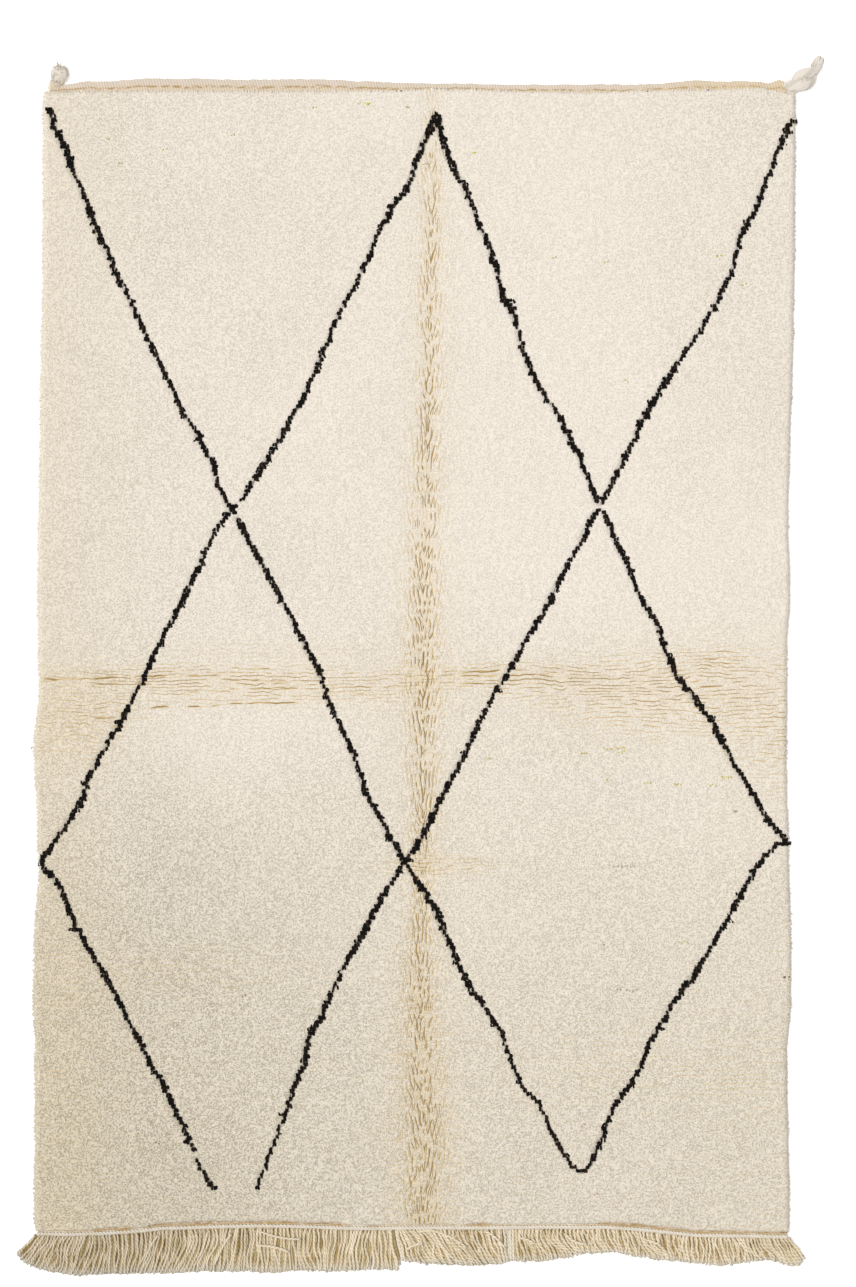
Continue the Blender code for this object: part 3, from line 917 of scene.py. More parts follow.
class RugColours(bpy.types.PropertyGroup):
    # Ivory where the pile is lightest, at the hem on the right; the next colour is the ivory where it is
    # darkest and greyest, near the cord on the left.
    ivory: colour_property("Ivory", "Pile in its lightest part", shade(243, 234, 221))
    worn_ivory: colour_property("Dulled ivory", "Pile in its most worn part", shade(218, 209, 191))
    # Painted shade in the gaps between the pile's curls.
    gap_shade_tan: colour_property("Grey tan", "Gaps between the pile's curls", shade(172, 155, 122))
    # Soft and deep tan: in the pile and its tufts, the wool below the surface, its own deeper tan plus painted
    # shade; in the hem, its tan dashes and seam.
    soft_tan: colour_property("Soft tan", "Pile just below its surface", shade(231, 206, 156))
    deep_tan: colour_property("Deep tan", "Bottom of the pile's creases", shade(172, 138, 76))
    black: colour_property("Black", "Knots of the lattice", shade(17, 12, 7))
    brown_black: colour_property("Brown black", "The lattice's browner knots", shade(58, 42, 30))
    hem_outer: colour_property("Hem, outer strip", "Paler strip along the edge", shade(230, 215, 198))
    hem_inner: colour_property("Hem, inner strip", "Darker strip beside the pile", shade(232, 214, 190))
    fringe_light: colour_property("Fringe, light", "Palest fringe strands", shade(250, 234, 205))
    # The darkest fringe tone: darker strands, and the painted shade of the lower layers.
    fringe_dark: colour_property("Fringe, dark", "Darkest fringe strands", shade(174, 146, 84))
    fringe_tip: colour_property("Fringe ends", "Cut ends of the fringe", shade(232, 224, 207))
    cord: colour_property("Cord", "Twined cord at the pile's end", shade(247, 238, 222))
    weft: colour_property("Weft", "Tan weft beside the cord", shade(206, 172, 114))
    corner: colour_property("Corner wool", "Tuft and tail at the hem's corners", shade(232, 223, 211))


class RugPile(bpy.types.PropertyGroup):
    height: length_property("Pile height", "Top of the pile above the floor", 0.0152)
    cell_across: length_property("Cell across", "Width of a cell of the pile's surface", 0.0043)
    cell_along: length_property("Cell along", "Length of a cell of the pile's surface", 0.0043)
    cell_fine: length_property("Fine cell", "Cell size where the pile parts and creases", 0.0018)
    edge_round: length_property("Edge rounding", "How far in from its edge the pile rises", 0.010)
    knot_relief: length_property("Knot relief", "How far clumps of knots stand up", 0.0007)
    tuft_relief: length_property("Tuft relief", "How unevenly single tufts are cut", 0.00030)


class RugLattice(bpy.types.PropertyGroup):
    row_pitch: length_property("Row pitch", "Distance between rows of dark knots", ROW_PITCH)
    strand_width: length_property("Strand width", "Distance between a dark knot's cut ends", 0.0036)


class RugYarn(bpy.types.PropertyGroup):
    cord_radius: length_property("Ply radius", "Half the thickness of one of the cord's plies", 0.0024)
    cord_turn: length_property("Cord turn", "Length of one full turn of the cord's plies", 0.0150)
    edge_pitch: length_property("Edge tuft pitch", "Distance between tufts along the pile's edges", 0.0057)


class RugStage(bpy.types.PropertyGroup):
    key: bpy.props.FloatProperty(name="Key", description="Strength of the soft key light", default=2.13)
    fill: bpy.props.FloatProperty(name="Fill", description="Strength of the light all round", default=0.41)
    lens: bpy.props.FloatProperty(name="Lens", description="Focal length", default=85.0, unit="CAMERA")
    view_height: length_property("View height", "Length of floor that the picture shows", 2.741)


SETTINGS = {
    "rug_colours": RugColours,
    "rug_pile": RugPile,
    "rug_lattice": RugLattice,
    "rug_yarn": RugYarn,
    "rug_stage": RugStage,
}


# ---------------------------------------------------------------------------------------------------------
# The pieces
# ---------------------------------------------------------------------------------------------------------


def add_piece(name, made, material, sharp=None):
    """A finished piece that rides on the rug's one body, with the given material in its one slot."""
    points, faces, values = made
    piece = mesh_object(name, points, faces, values, material, sharp)
    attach(piece, "root")
    return piece


def edge_distance(x, y):
    """How far a place lies in from the nearest edge, counted threefold from the steeper end at the cord."""
    ends = np.minimum(3 * (y - OUTLINE.low(x)), OUTLINE.high(x) - y)
    return np.minimum(np.minimum(x - OUTLINE.left(y), OUTLINE.right(y) - x), ends)


def lattice_mask(x, y, share):
    """1 inside a share of a dark line's width and 0 outside it, with a soft step a knot's quarter wide."""
    mask = np.zeros_like(x)
    for name in LATTICE:
        off = np.abs(x - lattice_x(name, y))
        half = lattice_half(name, y)
        mask = np.maximum(mask, step(0.0016, -0.0016, off - share * half) * (half > 0))
    return mask


# Height above the floor of the pile's edge, and of the flat undersides of the pile and of the foundation.
PILE_FOOT = 0.0022
PILE_UNDER = 0.0006
CLOTH_UNDER = 0.0004


def pile_surface(x, y, settings):
    """The pile's height and its markings at plan positions.

    Height = pile height + broad swells + clumps of knots + single tufts - parting - creases - the dip of the
    dark lines, all times a quarter circle that falls nearly to the floor at the edges.
    """
    leaning, along, opening, band = parting_strokes(x, y)
    cracks = opening * np.maximum(wavy_lines(leaning, 0.15), 0.85 * wavy_lines(along, 0.14))
    crease = crease_depth(x, y)
    worn = dulling(x, y)
    generator = np.random.default_rng(101)
    swells = 0.0009 * noise(x, y, 0.160, 0.110, 102) + 0.0006 * noise(x, y, 0.050, 0.036, 103)
    clumps = settings.knot_relief * noise(x, y, 0.0105, 0.0086, 104)
    single = settings.tuft_relief * (1 + 0.9 * worn) * generator.normal(0, 1, x.shape)
    height = settings.height + swells + clumps + single
    height = height - 0.0026 * cracks - 0.0014 * band - 0.0024 * crease
    height = height - 0.0034 * lattice_mask(x, y, 1.15)
    inward = np.clip(edge_distance(x, y) / settings.edge_round, 0, 1)
    rise = np.sqrt(1 - (1 - inward) ** 2)
    markings = {
        "worn": worn,
        "parting": np.stack([leaning, along, opening], -1),
        "rows": np.stack([row_phase(x, y), fold_strength(x, y), crease], -1),
        "band": band,
        "dark": lattice_mask(x, y, 0.22),
    }
    return PILE_FOOT + (height - PILE_FOOT) * rise, markings


def spread(edges, coarse, fine, fine_spans):
    """Grid lines from the first edge to the last: coarse steps, and fine ones inside the given spans."""
    dense = np.linspace(edges[0], edges[1], 4000)
    cell = np.full(dense.shape, coarse)
    for low, high in fine_spans:
        inside = step(low - 0.02, low, dense) * step(high + 0.02, high, dense)
        cell = np.minimum(cell, coarse + (fine - coarse) * inside)
    count = np.concatenate([[0], np.cumsum(np.diff(dense) / cell[:-1])])
    return np.interp(np.linspace(0, count[-1], int(round(count[-1])) + 1), count, dense)


# The pile's grid: half its width, where it is finer along y and how far out from the parting, its close
# lines at the edges and the width that these take up, and the y where its fields meet.
PILE_HALF = 0.81
FINE_ALONG = ((-0.118, 0.032),)
FINE_ACROSS = 0.050
EDGE_STEPS = (0.0, 0.0006, 0.0024, 0.0054)
EDGE_BAND = 0.0075
FIELDS_MEET = 0.22


def ease_edge(lines, low, high):
    """The grid lines with a few close ones at both ends, where the pile's edge rounds over."""
    inner = lines[(lines > low + EDGE_BAND) & (lines < high - EDGE_BAND)]
    steps = np.array(EDGE_STEPS)
    return np.concatenate([low + steps, inner, high - steps[::-1]])


# The ground's grid, and how much narrower it is than the pile.
GROUND_ACROSS = 61
GROUND_ALONG = 91
GROUND_WIDTH = 0.9955
# The hem's columns from first to last, how far it reaches in under the pile, its rows as shares of its
# width, the share past which its edge rounds over, and its thickness there.
HEM_FIRST = -0.7910
HEM_LAST = 0.7800
HEM_COLUMNS = 1400
HEM_UNDER = 0.012
HEM_ROWS = (0.0, 0.25, 0.40, 0.50, 0.58, 0.66, 0.74, 0.81, 0.87, 0.92, 0.96, 0.985, 1.0)
HEM_ROUND = 0.80
HEM_EDGE = 0.0012
HEM_THICK = 0.0044


def ground_slab():
    """The foundation's ground: a thin slab that rises in a steep power curve to the strip beside the cord."""
    across = np.linspace(0, 1, GROUND_ACROSS)[None, :]
    along = np.linspace(0, 1, GROUND_ALONG)[:, None]
    x, y = OUTLINE.place(across + 0 * along, along + 0 * across)
    x = x * GROUND_WIDTH
    y = y - 0.0095 * (1 - along) ** 8 - 0.004 * along**8
    top = 0.0024 + 0.0056 * (1 - along) ** 12 + 0 * x
    return slab(x, y, top, CLOTH_UNDER, {"strip": SEAM_SHARE * (1 - along) ** 20 + 0 * x})


def hem_slab():
    """The hem: a band from under the pile to an edge that two sizes of noise make uneven.

    Its height is a quarter ellipse at the edge, times ribs that slant across it, plus a step up to the pile.
    """
    columns = np.linspace(HEM_FIRST, HEM_LAST, HEM_COLUMNS)[None, :]
    share = np.array(HEM_ROWS)[:, None]
    x = columns + 0 * share
    start = OUTLINE.high(x) - HEM_UNDER
    edge = OUTLINE.hem(x) + 0.0040 + 0.0014 * ripple(x, 0.034, 201) + 0.0008 * ripple(x, 0.009, 205)
    edge = edge + 0.016 * step(0.735, 0.768, x)
    y = start + (edge - start) * share
    x = x + 0.0004 * noise(x, y, 0.02, 0.01, 202)
    ribs = np.sin(x * 1150 + y * 520) + 0.5 * noise(x, y, 0.006, 0.004, 203)
    thick = HEM_THICK + 0.00045 * ribs + 0.0006 * noise(x, y, 0.05, 0.02, 204)
    rise = np.sqrt(np.clip(1 - ((share - HEM_ROUND) / (1 - HEM_ROUND)).clip(0, 1) ** 2, 0, 1))
    near_pile = step(0.75, 0.30, share)
    top = HEM_EDGE + thick * rise + 0.0042 * near_pile
    return slab(x, y, top, CLOTH_UNDER, {"strip": share + 0 * x})


class RUG_OT_foundation(bpy.types.Operator):
    """Adds the flat-woven ground with its ribbed hem: a thin slab from the cord to the pile's end, and a
    band of ribs past it."""

    bl_idname = "rug.foundation"
    bl_label = "Add Foundation"

    def execute(self, context):
        material = hem_material(context.scene.rug_colours)
        made = joined(ground_slab()[:3], hem_slab()[:3])
        piece = add_piece("foundation", made, material)
        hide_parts("rug")
        return {"FINISHED"}


class RUG_OT_pile(bpy.types.Operator):
    """Adds the ivory pile as four fields that meet at the parting and at one row. Each is a height over plan
    positions that follow the uneven edges, closed down to the foundation."""

    bl_idname = "rug.pile"
    bl_label = "Add Pile"

    def execute(self, context):
        settings = context.scene.rug_pile
        material = wool_material(context.scene.rug_colours)
        lines = spread((0, PILE_HALF), settings.cell_across, settings.cell_fine, ((-1, FINE_ACROSS),))
        steps = PILE_HALF - np.array(EDGE_STEPS)[::-1]
        side = np.concatenate([lines[lines < PILE_HALF - EDGE_BAND], steps]) / PILE_HALF
        rows = spread((LOW_Y, HIGH_Y), settings.cell_along, settings.cell_fine, FINE_ALONG)
        length = HIGH_Y - LOW_Y
        rows = (ease_edge(rows, LOW_Y, HIGH_Y) - LOW_Y) / length
        split = np.argmin(np.abs(rows - (FIELDS_MEET - LOW_Y) / length))
        halves = {"left": 0.5 - side[::-1] / 2, "right": 0.5 + side / 2}
        ends = {"lower": rows[: split + 1], "upper": rows[split:]}
        for side_name, shares in halves.items():
            for end_name, along in ends.items():
                across = shares[None, :] + 0 * along[:, None]
                x, y = OUTLINE.place(across, along[:, None] + 0 * shares[None, :])
                top, markings = pile_surface(x, y, settings)
                *made, sharp = slab(x, y, top, PILE_UNDER, markings)
                piece = add_piece(f"pile_{side_name}_{end_name}", made, material, sharp)
                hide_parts("rug")
        return {"FINISHED"}


def lattice_rows(name, pitch):
    """Every row of knots of a dark line: its y, and the x where it starts and ends.

    A row spans the line's places a little above and below it, plus the line's half width, times a random
    share, at both ends; each row steps sideways at random.
    """
    line = np.array(LATTICE[name], float) / 1000
    y = np.arange(line[-1, 0] + pitch / 2, line[0, 0], pitch)
    above, below = lattice_x(name, y + pitch * 0.40), lattice_x(name, y - pitch * 0.40)
    half = lattice_half(name, y)
    generator = np.random.default_rng(300 + list(LATTICE).index(name))
    shift = generator.normal(0, 0.0024, len(y))
    half = half * generator.uniform(0.26, 1.16, len(y))
    low = np.minimum(above, below) - half + shift
    high = np.maximum(above, below) + half + shift
    for owner, place, reach in SPURS:
        if owner == name:
            row = np.argmin(np.abs(y - place / 1000))
            low[row] += min(reach, 0) / 1000
            high[row] += max(reach, 0) / 1000
    keep = half > 0
    return y[keep], low[keep], high[keep]


# How far the cut ends of the dark knots stand above the pile and how far their feet lie below its top, what
# share of the ends is missing, and past how many standard deviations an end strays out sideways.
KNOT_STANDS = 0.0008
KNOT_SINKS = 0.0022
KNOTS_MISSING = 0.05
KNOT_STRAYS = 1.9
# The smallest share of the edge's rounding at which a knot is still raised.
KNOT_INWARD = 0.06


class RUG_OT_lattice(bpy.types.Operator):
    """Adds the four dark lines as rows of knots: each row's span is filled with cut ends side by side, each a
    four-sided drop that lies down the rug at its own slant, so that the line steps and spurs as knotting
    does. Now and then an end strays out sideways. Near the pile's edge they follow its quarter circle
    down."""

    bl_idname = "rug.lattice"
    bl_label = "Add Lattice"

    def execute(self, context):
        settings = context.scene.rug_lattice
        pile = context.scene.rug_pile
        material = black_material(context.scene.rug_colours)
        pitch = settings.row_pitch
        for order, name in enumerate(LATTICE):
            generator = np.random.default_rng(320 + order)
            y, low, high = lattice_rows(name, pitch)
            count = np.maximum(2, np.round((high - low) / settings.strand_width)).astype(int)
            row = np.repeat(np.arange(len(y)), count)
            place = np.arange(count.sum()) - np.repeat(np.cumsum(count) - count, count)
            share = (place + 0.5) / count[row]
            x = low[row] + share * (high - low)[row]
            ends = np.abs(share - 0.5) * 2
            stray = generator.normal(0, 1, (4, len(x)))
            strays = (np.abs(stray[1]) > KNOT_STRAYS) * 0.0036 * ends
            slant = 0.0009 * stray[0] + np.sign(share - 0.5) * strays
            foot_y = y[row] + pitch * 0.42 + 0.0007 * stray[2]
            tip_y = y[row] - pitch * 0.50 + 0.0009 * stray[3]
            # A few cut ends are missing, which leaves the nicks in the lines.
            keep = generator.uniform(0, 1, len(x)) > KNOTS_MISSING
            feet = np.stack([x - 0.3 * slant, foot_y, 0 * x + pile.height - KNOT_SINKS], -1)[keep]
            tips = np.stack([x + slant, tip_y, 0 * x + pile.height + KNOT_STANDS], -1)[keep]
            tips[:, 2] += generator.normal(0, 0.0005, len(tips))
            inward = np.clip(edge_distance(tips[:, 0], tips[:, 1]) / pile.edge_round, KNOT_INWARD, 1)
            near_edge = np.sqrt(1 - (1 - inward) ** 2) * (1.30 - 0.30 * inward)
            tips[:, 2] *= near_edge
            feet[:, 2] *= near_edge
            halves = generator.uniform(0.0023, 0.0031, len(feet))
            tone = generator.uniform(0, 1, len(feet))
            made = tufts(feet, tips, halves, TUFT_BLUNT, generator, tone)
            add_piece(f"lattice_{name}", made, material)
        return {"FINISHED"}


# The edge tufts' tiers: foot height, tip height, how far inside the foot is and how far outside the tip is.
EDGE_TIERS = (
    (0.0108, 0.0098, 0.0085, -0.0018),
    (0.0080, 0.0052, 0.0065, 0.0006),
    (0.0040, 0.0018, 0.0055, 0.0012),
)
# How much further the tufts of a side reach, and where the tufts start and end along the sides and the ends.
EDGE_REACH = {"left": 0.0028, "right": 0.0, "cord_end": 0.0004, "hem_end": 0.0022}
TUFTS_DOWN = (-1.192, 1.216)
TUFTS_OVER = (-0.800, 0.775)
# The least height of a point of the edge tufts and of the corner wool.
FLOOR_GAP = 0.0003


class RUG_OT_edge_tufts(bpy.types.Operator):
    """Adds the tufts that hang out along the pile's four edges, in three staggered tiers: each starts
    inside the edge and ends a little past it, lower down, so that the edge is ragged from above and shaggy
    seen level."""

    bl_idname = "rug.edge_tufts"
    bl_label = "Add Edge Tufts"

    def execute(self, context):
        pitch = context.scene.rug_yarn.edge_pitch
        material = tuft_material(context.scene.rug_colours)
        generator = np.random.default_rng(400)
        down = np.arange(*TUFTS_DOWN, pitch)
        over = np.arange(*TUFTS_OVER, pitch)
        sides = {
            "left": (lambda t: (OUTLINE.left(t), t), (-1, 0), down),
            "right": (lambda t: (OUTLINE.right(t), t), (1, 0), down),
            "cord_end": (lambda t: (t, OUTLINE.low(t)), (0, -1), over),
            "hem_end": (lambda t: (t, OUTLINE.high(t)), (0, 1), over),
        }
        for name, (edge, outward, stops) in sides.items():
            out = np.array(outward, float)
            slide = np.array([-out[1], out[0]])
            parts = []
            for tier, (foot_z, tip_z, inside, past) in enumerate(EDGE_TIERS):
                t = stops + pitch * (tier / 3 + generator.uniform(-0.35, 0.35, len(stops)))
                x, y = edge(t)
                place = np.stack([x, y], -1)
                ragged = generator.normal(0, 0.0011, (len(t), 1)) + 0.0014 * ripple(t, 0.03, 401)[:, None]
                foot = place - out * inside
                tip = place + out * (past + EDGE_REACH[name] + ragged)
                tip = tip + slide * generator.normal(0, 0.0018, (len(t), 1))
                feet = np.column_stack([foot, 0 * t + foot_z])
                tips = np.column_stack([tip, 0 * t + tip_z])
                tips[:, 2] += generator.normal(0, 0.0006, len(t))
                halves = generator.uniform(0.0026, 0.0034, len(t))
                halves = np.minimum(halves, tips[:, 2].clip(0.0016, 1) * 1.1)
                tone = generator.uniform(0, 1, len(t))
                parts.append(tufts(feet, tips, halves, TUFT_LONG, generator, tone))
            made = joined(*parts)
            made[0][:, 2] = np.maximum(made[0][:, 2], FLOOR_GAP)
            made[2]["worn"] = dulling(made[0][:, 0], made[0][:, 1])
            piece = add_piece(f"edge_tufts_{name}", made, material)
            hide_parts("rug")
        return {"FINISHED"}


# The flecks' wool, and the ivory that a weak fleck fades to.
FLECK_COLOURS = {
    "yellow": shade(232, 218, 84),
    "brown": shade(92, 66, 44),
    "rust": shade(214, 160, 104),
    "pink": shade(226, 176, 170),
}
FLECK_FADED = shade(228, 217, 199)
# Height of a fleck's foot and of its tip above the pile's.
FLECK_FOOT = 0.0010
FLECK_TIP = 0.0028


class RUG_OT_flecks(bpy.types.Operator):
    """Adds the stray knots of other wool: each is a few short tufts that lie along a row, on top of the
    pile."""

    bl_idname = "rug.flecks"
    bl_label = "Add Stray Knots"

    def execute(self, context):
        pile = context.scene.rug_pile
        faded = np.array(FLECK_FADED)
        generator = np.random.default_rng(500)
        parts = []
        for x, y, half, strength, colour in FLECKS:
            count = 1 + int(half / 2.5)
            spots = np.linspace(-half, half, count) / 1000 + generator.normal(0, 0.0006, count)
            feet = np.stack([x / 1000 + spots, y / 1000 + generator.normal(0, 0.001, count), 0 * spots], -1)
            lean = generator.normal(0, 0.0026, count)
            drop = generator.normal(-0.0012, 0.0012, count)
            tips = feet + np.stack([lean, drop, 0 * spots], -1)
            near = np.clip(edge_distance(feet[:, 0], feet[:, 1]) / pile.edge_round, 0.35, 1)
            feet[:, 2] = (pile.height + FLECK_FOOT) * near
            tips[:, 2] = (pile.height + FLECK_TIP) * near
            halves = np.full(count, 0.0016 + 0.0005 * strength)
            points, faces, values = tufts(feet, tips, halves, TUFT_LONG, generator, np.zeros(count))
            hue = np.array(FLECK_COLOURS[colour]) * strength + faded * (1 - strength)
            values["hue"] = np.broadcast_to(hue, points.shape).copy()
            parts.append((points, faces, values))
        material = fleck_material(context.scene.rug_colours)
        add_piece("stray_knots", joined(*parts), material)
        return {"FINISHED"}


# The cord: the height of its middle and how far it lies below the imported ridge, how far out its plies'
# middles run and how flat that is, the distance between rings, how many sides a ply has, and how far in the
# cord ends.
CORD_HEIGHT = 0.0100
CORD_LOWER = 0.0018
CORD_REACH = 0.0021
CORD_FLAT = 0.75
CORD_STEP = 0.0019
CORD_SIDES = 6
CORD_ENDS = 0.004
# The weft beside it: how far towards the pile, its height, and its thickness as a share of a ply's.
WEFT_BESIDE = 0.0052
WEFT_HEIGHT = 0.0078
WEFT_SHARE = 0.84


class RUG_OT_cord(bpy.types.Operator):
    """Adds the twined cord along the pile's lower end: two plies, each a tube whose middle runs round the
    cord's own line as a helix, one half a turn ahead of the other, and a tan weft beside them, against the
    pile."""

    bl_idname = "rug.cord"
    bl_label = "Add Edge Cord"

    def execute(self, context):
        yarn = context.scene.rug_yarn
        colours = context.scene.rug_colours
        low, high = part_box("edge_cord")
        x = np.arange(low.x + CORD_ENDS, high.x - CORD_ENDS, CORD_STEP)
        middle = OUTLINE.cord(x) - CORD_LOWER + 0.0006 * ripple(x, 0.05, 601)
        turn = x * math.tau / yarn.cord_turn + 0.9 * ripple(x, 0.04, 602)
        plies = []
        for ahead in (0.0, math.pi):
            y = middle + CORD_REACH * np.cos(turn + ahead)
            z = CORD_HEIGHT + CORD_FLAT * CORD_REACH * np.sin(turn + ahead)
            plies.append(np.stack([x, y, z], -1))
        beside = middle + WEFT_BESIDE + 0.0006 * ripple(x, 0.012, 604)
        plies.append(np.stack([x, beside, WEFT_HEIGHT + 0.0006 * np.sin(turn)], -1))
        slub = 1 + 0.10 * ripple(x, 0.012, 603)
        radii = yarn.cord_radius * slub * np.array([1.0, 1.0, WEFT_SHARE])[:, None]
        points, faces, values = tubes(np.stack(plies), radii, CORD_SIDES, (0, 0, 1))
        # The weft is paler at its left end and, in short lengths, elsewhere; it is darkest along the bare
        # strips.
        weft = 0.55 + 0.30 * step(-0.68, -0.74, x) - 0.55 * OUTLINE.strip(x)
        weft = weft + 0.5 * step(0.2, 0.8, ripple(x, 0.009, 605))
        values["tone"] = np.repeat(np.concatenate([1.2 + 0 * x, 1.1 + 0 * x, weft]), CORD_SIDES)
        values["share"] = values["share"] * 0
        material = yarn_material(
            "cord_yarn", colours.cord, colours.weft, colours.cord, pitch=0.0042, groove_shade=0.06, duller=0.05
        )
        piece = add_piece("twined_cord", (points, faces, values), material)
        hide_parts("edge_cord")
        return {"FINISHED"}


# Rings of a strand, how far from the cord's ridge it starts, the least height of a point of it, and the
# height of the strands that cross the others.
STRAND_RINGS = 17
STRAND_START = 0.0050
STRAND_GAP = 0.0002
CROSSING_HEIGHT = 0.0120


def strand_paths(tip_x, heights, rows, loose, generator, seed):
    """Paths of strands from the cord to their ends.

    Each end's place is read back to its root, then shaken by smooth noise that neighbours share, so that
    strands gather and lean together, as far as loose says; those at the fringe's ends and at its openings
    lie straighter. x runs from root to tip by an easing curve plus a slow S-shaped sway, a quicker one of
    the strand's own and a kink; y falls evenly; z goes from its height at the cord to its height at the
    end.
    """
    count = len(tip_x)
    root_x = np.interp(tip_x, rows["tip_x"], rows["root_x"]) + generator.normal(0, 0.0010, count)
    tip_y = np.interp(tip_x, rows["tip_x"], rows["tip_y"])
    inside = step(0.0, 0.05, np.minimum(tip_x - tip_x[0], tip_x[-1] - tip_x))
    opening = np.mean(FRINGE_OPENINGS, axis=1) / 1000
    inside = inside * step(0.005, 0.045, np.abs(tip_x[:, None] - opening).min(axis=1))
    lean = 0.0070 * ripple(tip_x, 0.045, seed) + 0.0040 * ripple(tip_x, 0.019, seed + 1)
    tip_x = tip_x + loose * lean * inside + generator.normal(0, 0.0010, count) * loose
    tip_y = tip_y + 0.0013 * ripple(tip_x, 0.013, seed + 2) + generator.normal(0.0006, 0.0012, count)
    share = np.linspace(0, 1, STRAND_RINGS)[None, :]
    root_y = OUTLINE.cord(root_x) - STRAND_START
    late = 1.15 + 0.35 * ripple(tip_x, 0.03, seed + 3)[:, None]
    x = root_x[:, None] + (tip_x - root_x)[:, None] * share**late
    bend = 0.0070 * ripple(tip_x, 0.046, seed + 4) + 0.0034 * ripple(tip_x, 0.018, seed + 5)
    bend = loose * (inside * bend + generator.normal(0, 0.0008, count))[:, None]
    waves = 1.5 + 0.6 * ripple(tip_x, 0.05, seed + 6)[:, None]
    sway = bend * np.sin(share * math.pi * waves)
    own = generator.uniform(0, math.tau, (2, count, 1))
    free = np.minimum(share * 4, 1)
    sway = sway + loose * 0.0013 * np.sin(share * (7 + own[0] / 2) + own[1]) * free
    kink = 0.0008 * noise(share * 0.09 + 0 * sway, tip_x[:, None] * 9 + 0 * share, 0.013, 0.05, seed + 7)
    y = root_y[:, None] + (tip_y - root_y)[:, None] * share
    z = heights[0][:, None] + (heights[1] - heights[0])[:, None] * share
    z = z + 0.0005 * noise(share * 0.09 + 0 * sway, tip_x[:, None] * 7 + 0 * share, 0.022, 0.05, seed + 8)
    return np.stack([x + sway + kink * free, y, z], -1)


def crossing_paths():
    """Paths of the loose strands that lie across the others: straight ones plus a parabola sideways."""
    rows = table(CROSSING, CROSSING_COLUMNS)
    share = np.linspace(0, 1, STRAND_RINGS)[None, :]
    x = rows["x0"][:, None] + (rows["x1"] - rows["x0"])[:, None] * share
    y = rows["y0"][:, None] + (rows["y1"] - rows["y0"])[:, None] * share
    y = y + rows["bow"][:, None] * 4 * share * (1 - share)
    return np.stack([x, y, CROSSING_HEIGHT + 0 * x], -1)


# The fringe's layers: what they are called, the distance between strands, half a strand's thickness,
# heights at the cord and at the end, their tones from dark to light, how loosely they lie, and the sides of
# a strand. The darker tones of the layers lower down are painted shade under the strands above them.
FRINGE_LAYERS = (
    ("lower", 0.0053, 0.0039, 0.0034, 0.0034, 0.00, 0.24, 0.20, 5),
    ("middle", 0.0080, 0.0028, 0.0066, 0.0052, 0.45, 0.90, 0.75, 6),
    ("upper", 0.0088, 0.0028, 0.0094, 0.0076, 0.80, 1.10, 1.10, 7),
)


class RUG_OT_fringe(bpy.types.Operator):
    """Adds the fringe: a close lower layer, dark with painted shade, a middle and an upper one of strands that
    lean and gather together, and a few loose ones that lie across the rest. Each strand is a tube along its
    path, of uneven thickness and thinner at its end."""

    bl_idname = "rug.fringe"
    bl_label = "Add Fringe"

    def execute(self, context):
        colours = context.scene.rug_colours
        rows = table(FRINGE, FRINGE_COLUMNS)
        openings = np.array(FRINGE_OPENINGS) / 1000
        generator = np.random.default_rng(610)
        material = yarn_material(
            "warp_yarn", colours.fringe_light, colours.fringe_dark, colours.fringe_tip,
            pitch=0.0088, groove_shade=0.30, duller=0.15,
        )
        share = np.linspace(0, 1, STRAND_RINGS)[None, :]
        middle = (rows["root_x"] + rows["tip_x"]) / 2
        for order, layer in enumerate(FRINGE_LAYERS):
            name, pitch, radius, root_z, tip_z, dark, light, loose, sides = layer
            at = np.arange(middle[0], middle[-1] + pitch / 2, pitch)
            tip_x = np.interp(at + generator.uniform(-0.16, 0.16, len(at)) * pitch, middle, rows["tip_x"])
            closed = ((tip_x[:, None] < openings[:, 0]) | (tip_x[:, None] > openings[:, 1])).all(axis=1)
            tip_x = np.sort(tip_x[closed | (name == "lower")])
            root_heights = 0 * tip_x + root_z
            tip_heights = np.maximum(tip_z + generator.normal(0, 0.0007, len(tip_x)), radius * 1.02)
            paths = strand_paths(tip_x, (root_heights, tip_heights), rows, loose, generator, 620 + 20 * order)
            if name == "upper":
                paths = np.concatenate([paths, crossing_paths()])
            count = len(paths)
            thin = 1 - 0.26 * step(0.85, 1.0, share) + 0.07 * generator.normal(0, 1, (count, STRAND_RINGS))
            radii = radius * generator.uniform(0.88, 1.10, (count, 1)) * thin
            points, faces, values = tubes(paths, radii, sides, (0, 0, 1), flat=0.92)
            points[:, 2] = np.maximum(points[:, 2], STRAND_GAP)
            # The layers lower down draw darker tones: painted shade under the strands above. Within a layer
            # the tones differ at random.
            tone = generator.uniform(dark, light, count)
            tone[len(tip_x):] = 1.2
            tip = paths[:, -1, :1]
            pale = ((tip > openings[:, 0]) & (tip < openings[:, 1])).any(axis=1)
            tone[pale] = 1.1
            values["tone"] = per_tube(tone, STRAND_RINGS, sides)
            values["share"] = np.maximum(values["share"], per_tube(pale * 1.0, STRAND_RINGS, sides))
            piece = add_piece(f"fringe_{name}", (points, faces, values), material)
            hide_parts("fringe")
        return {"FINISHED"}


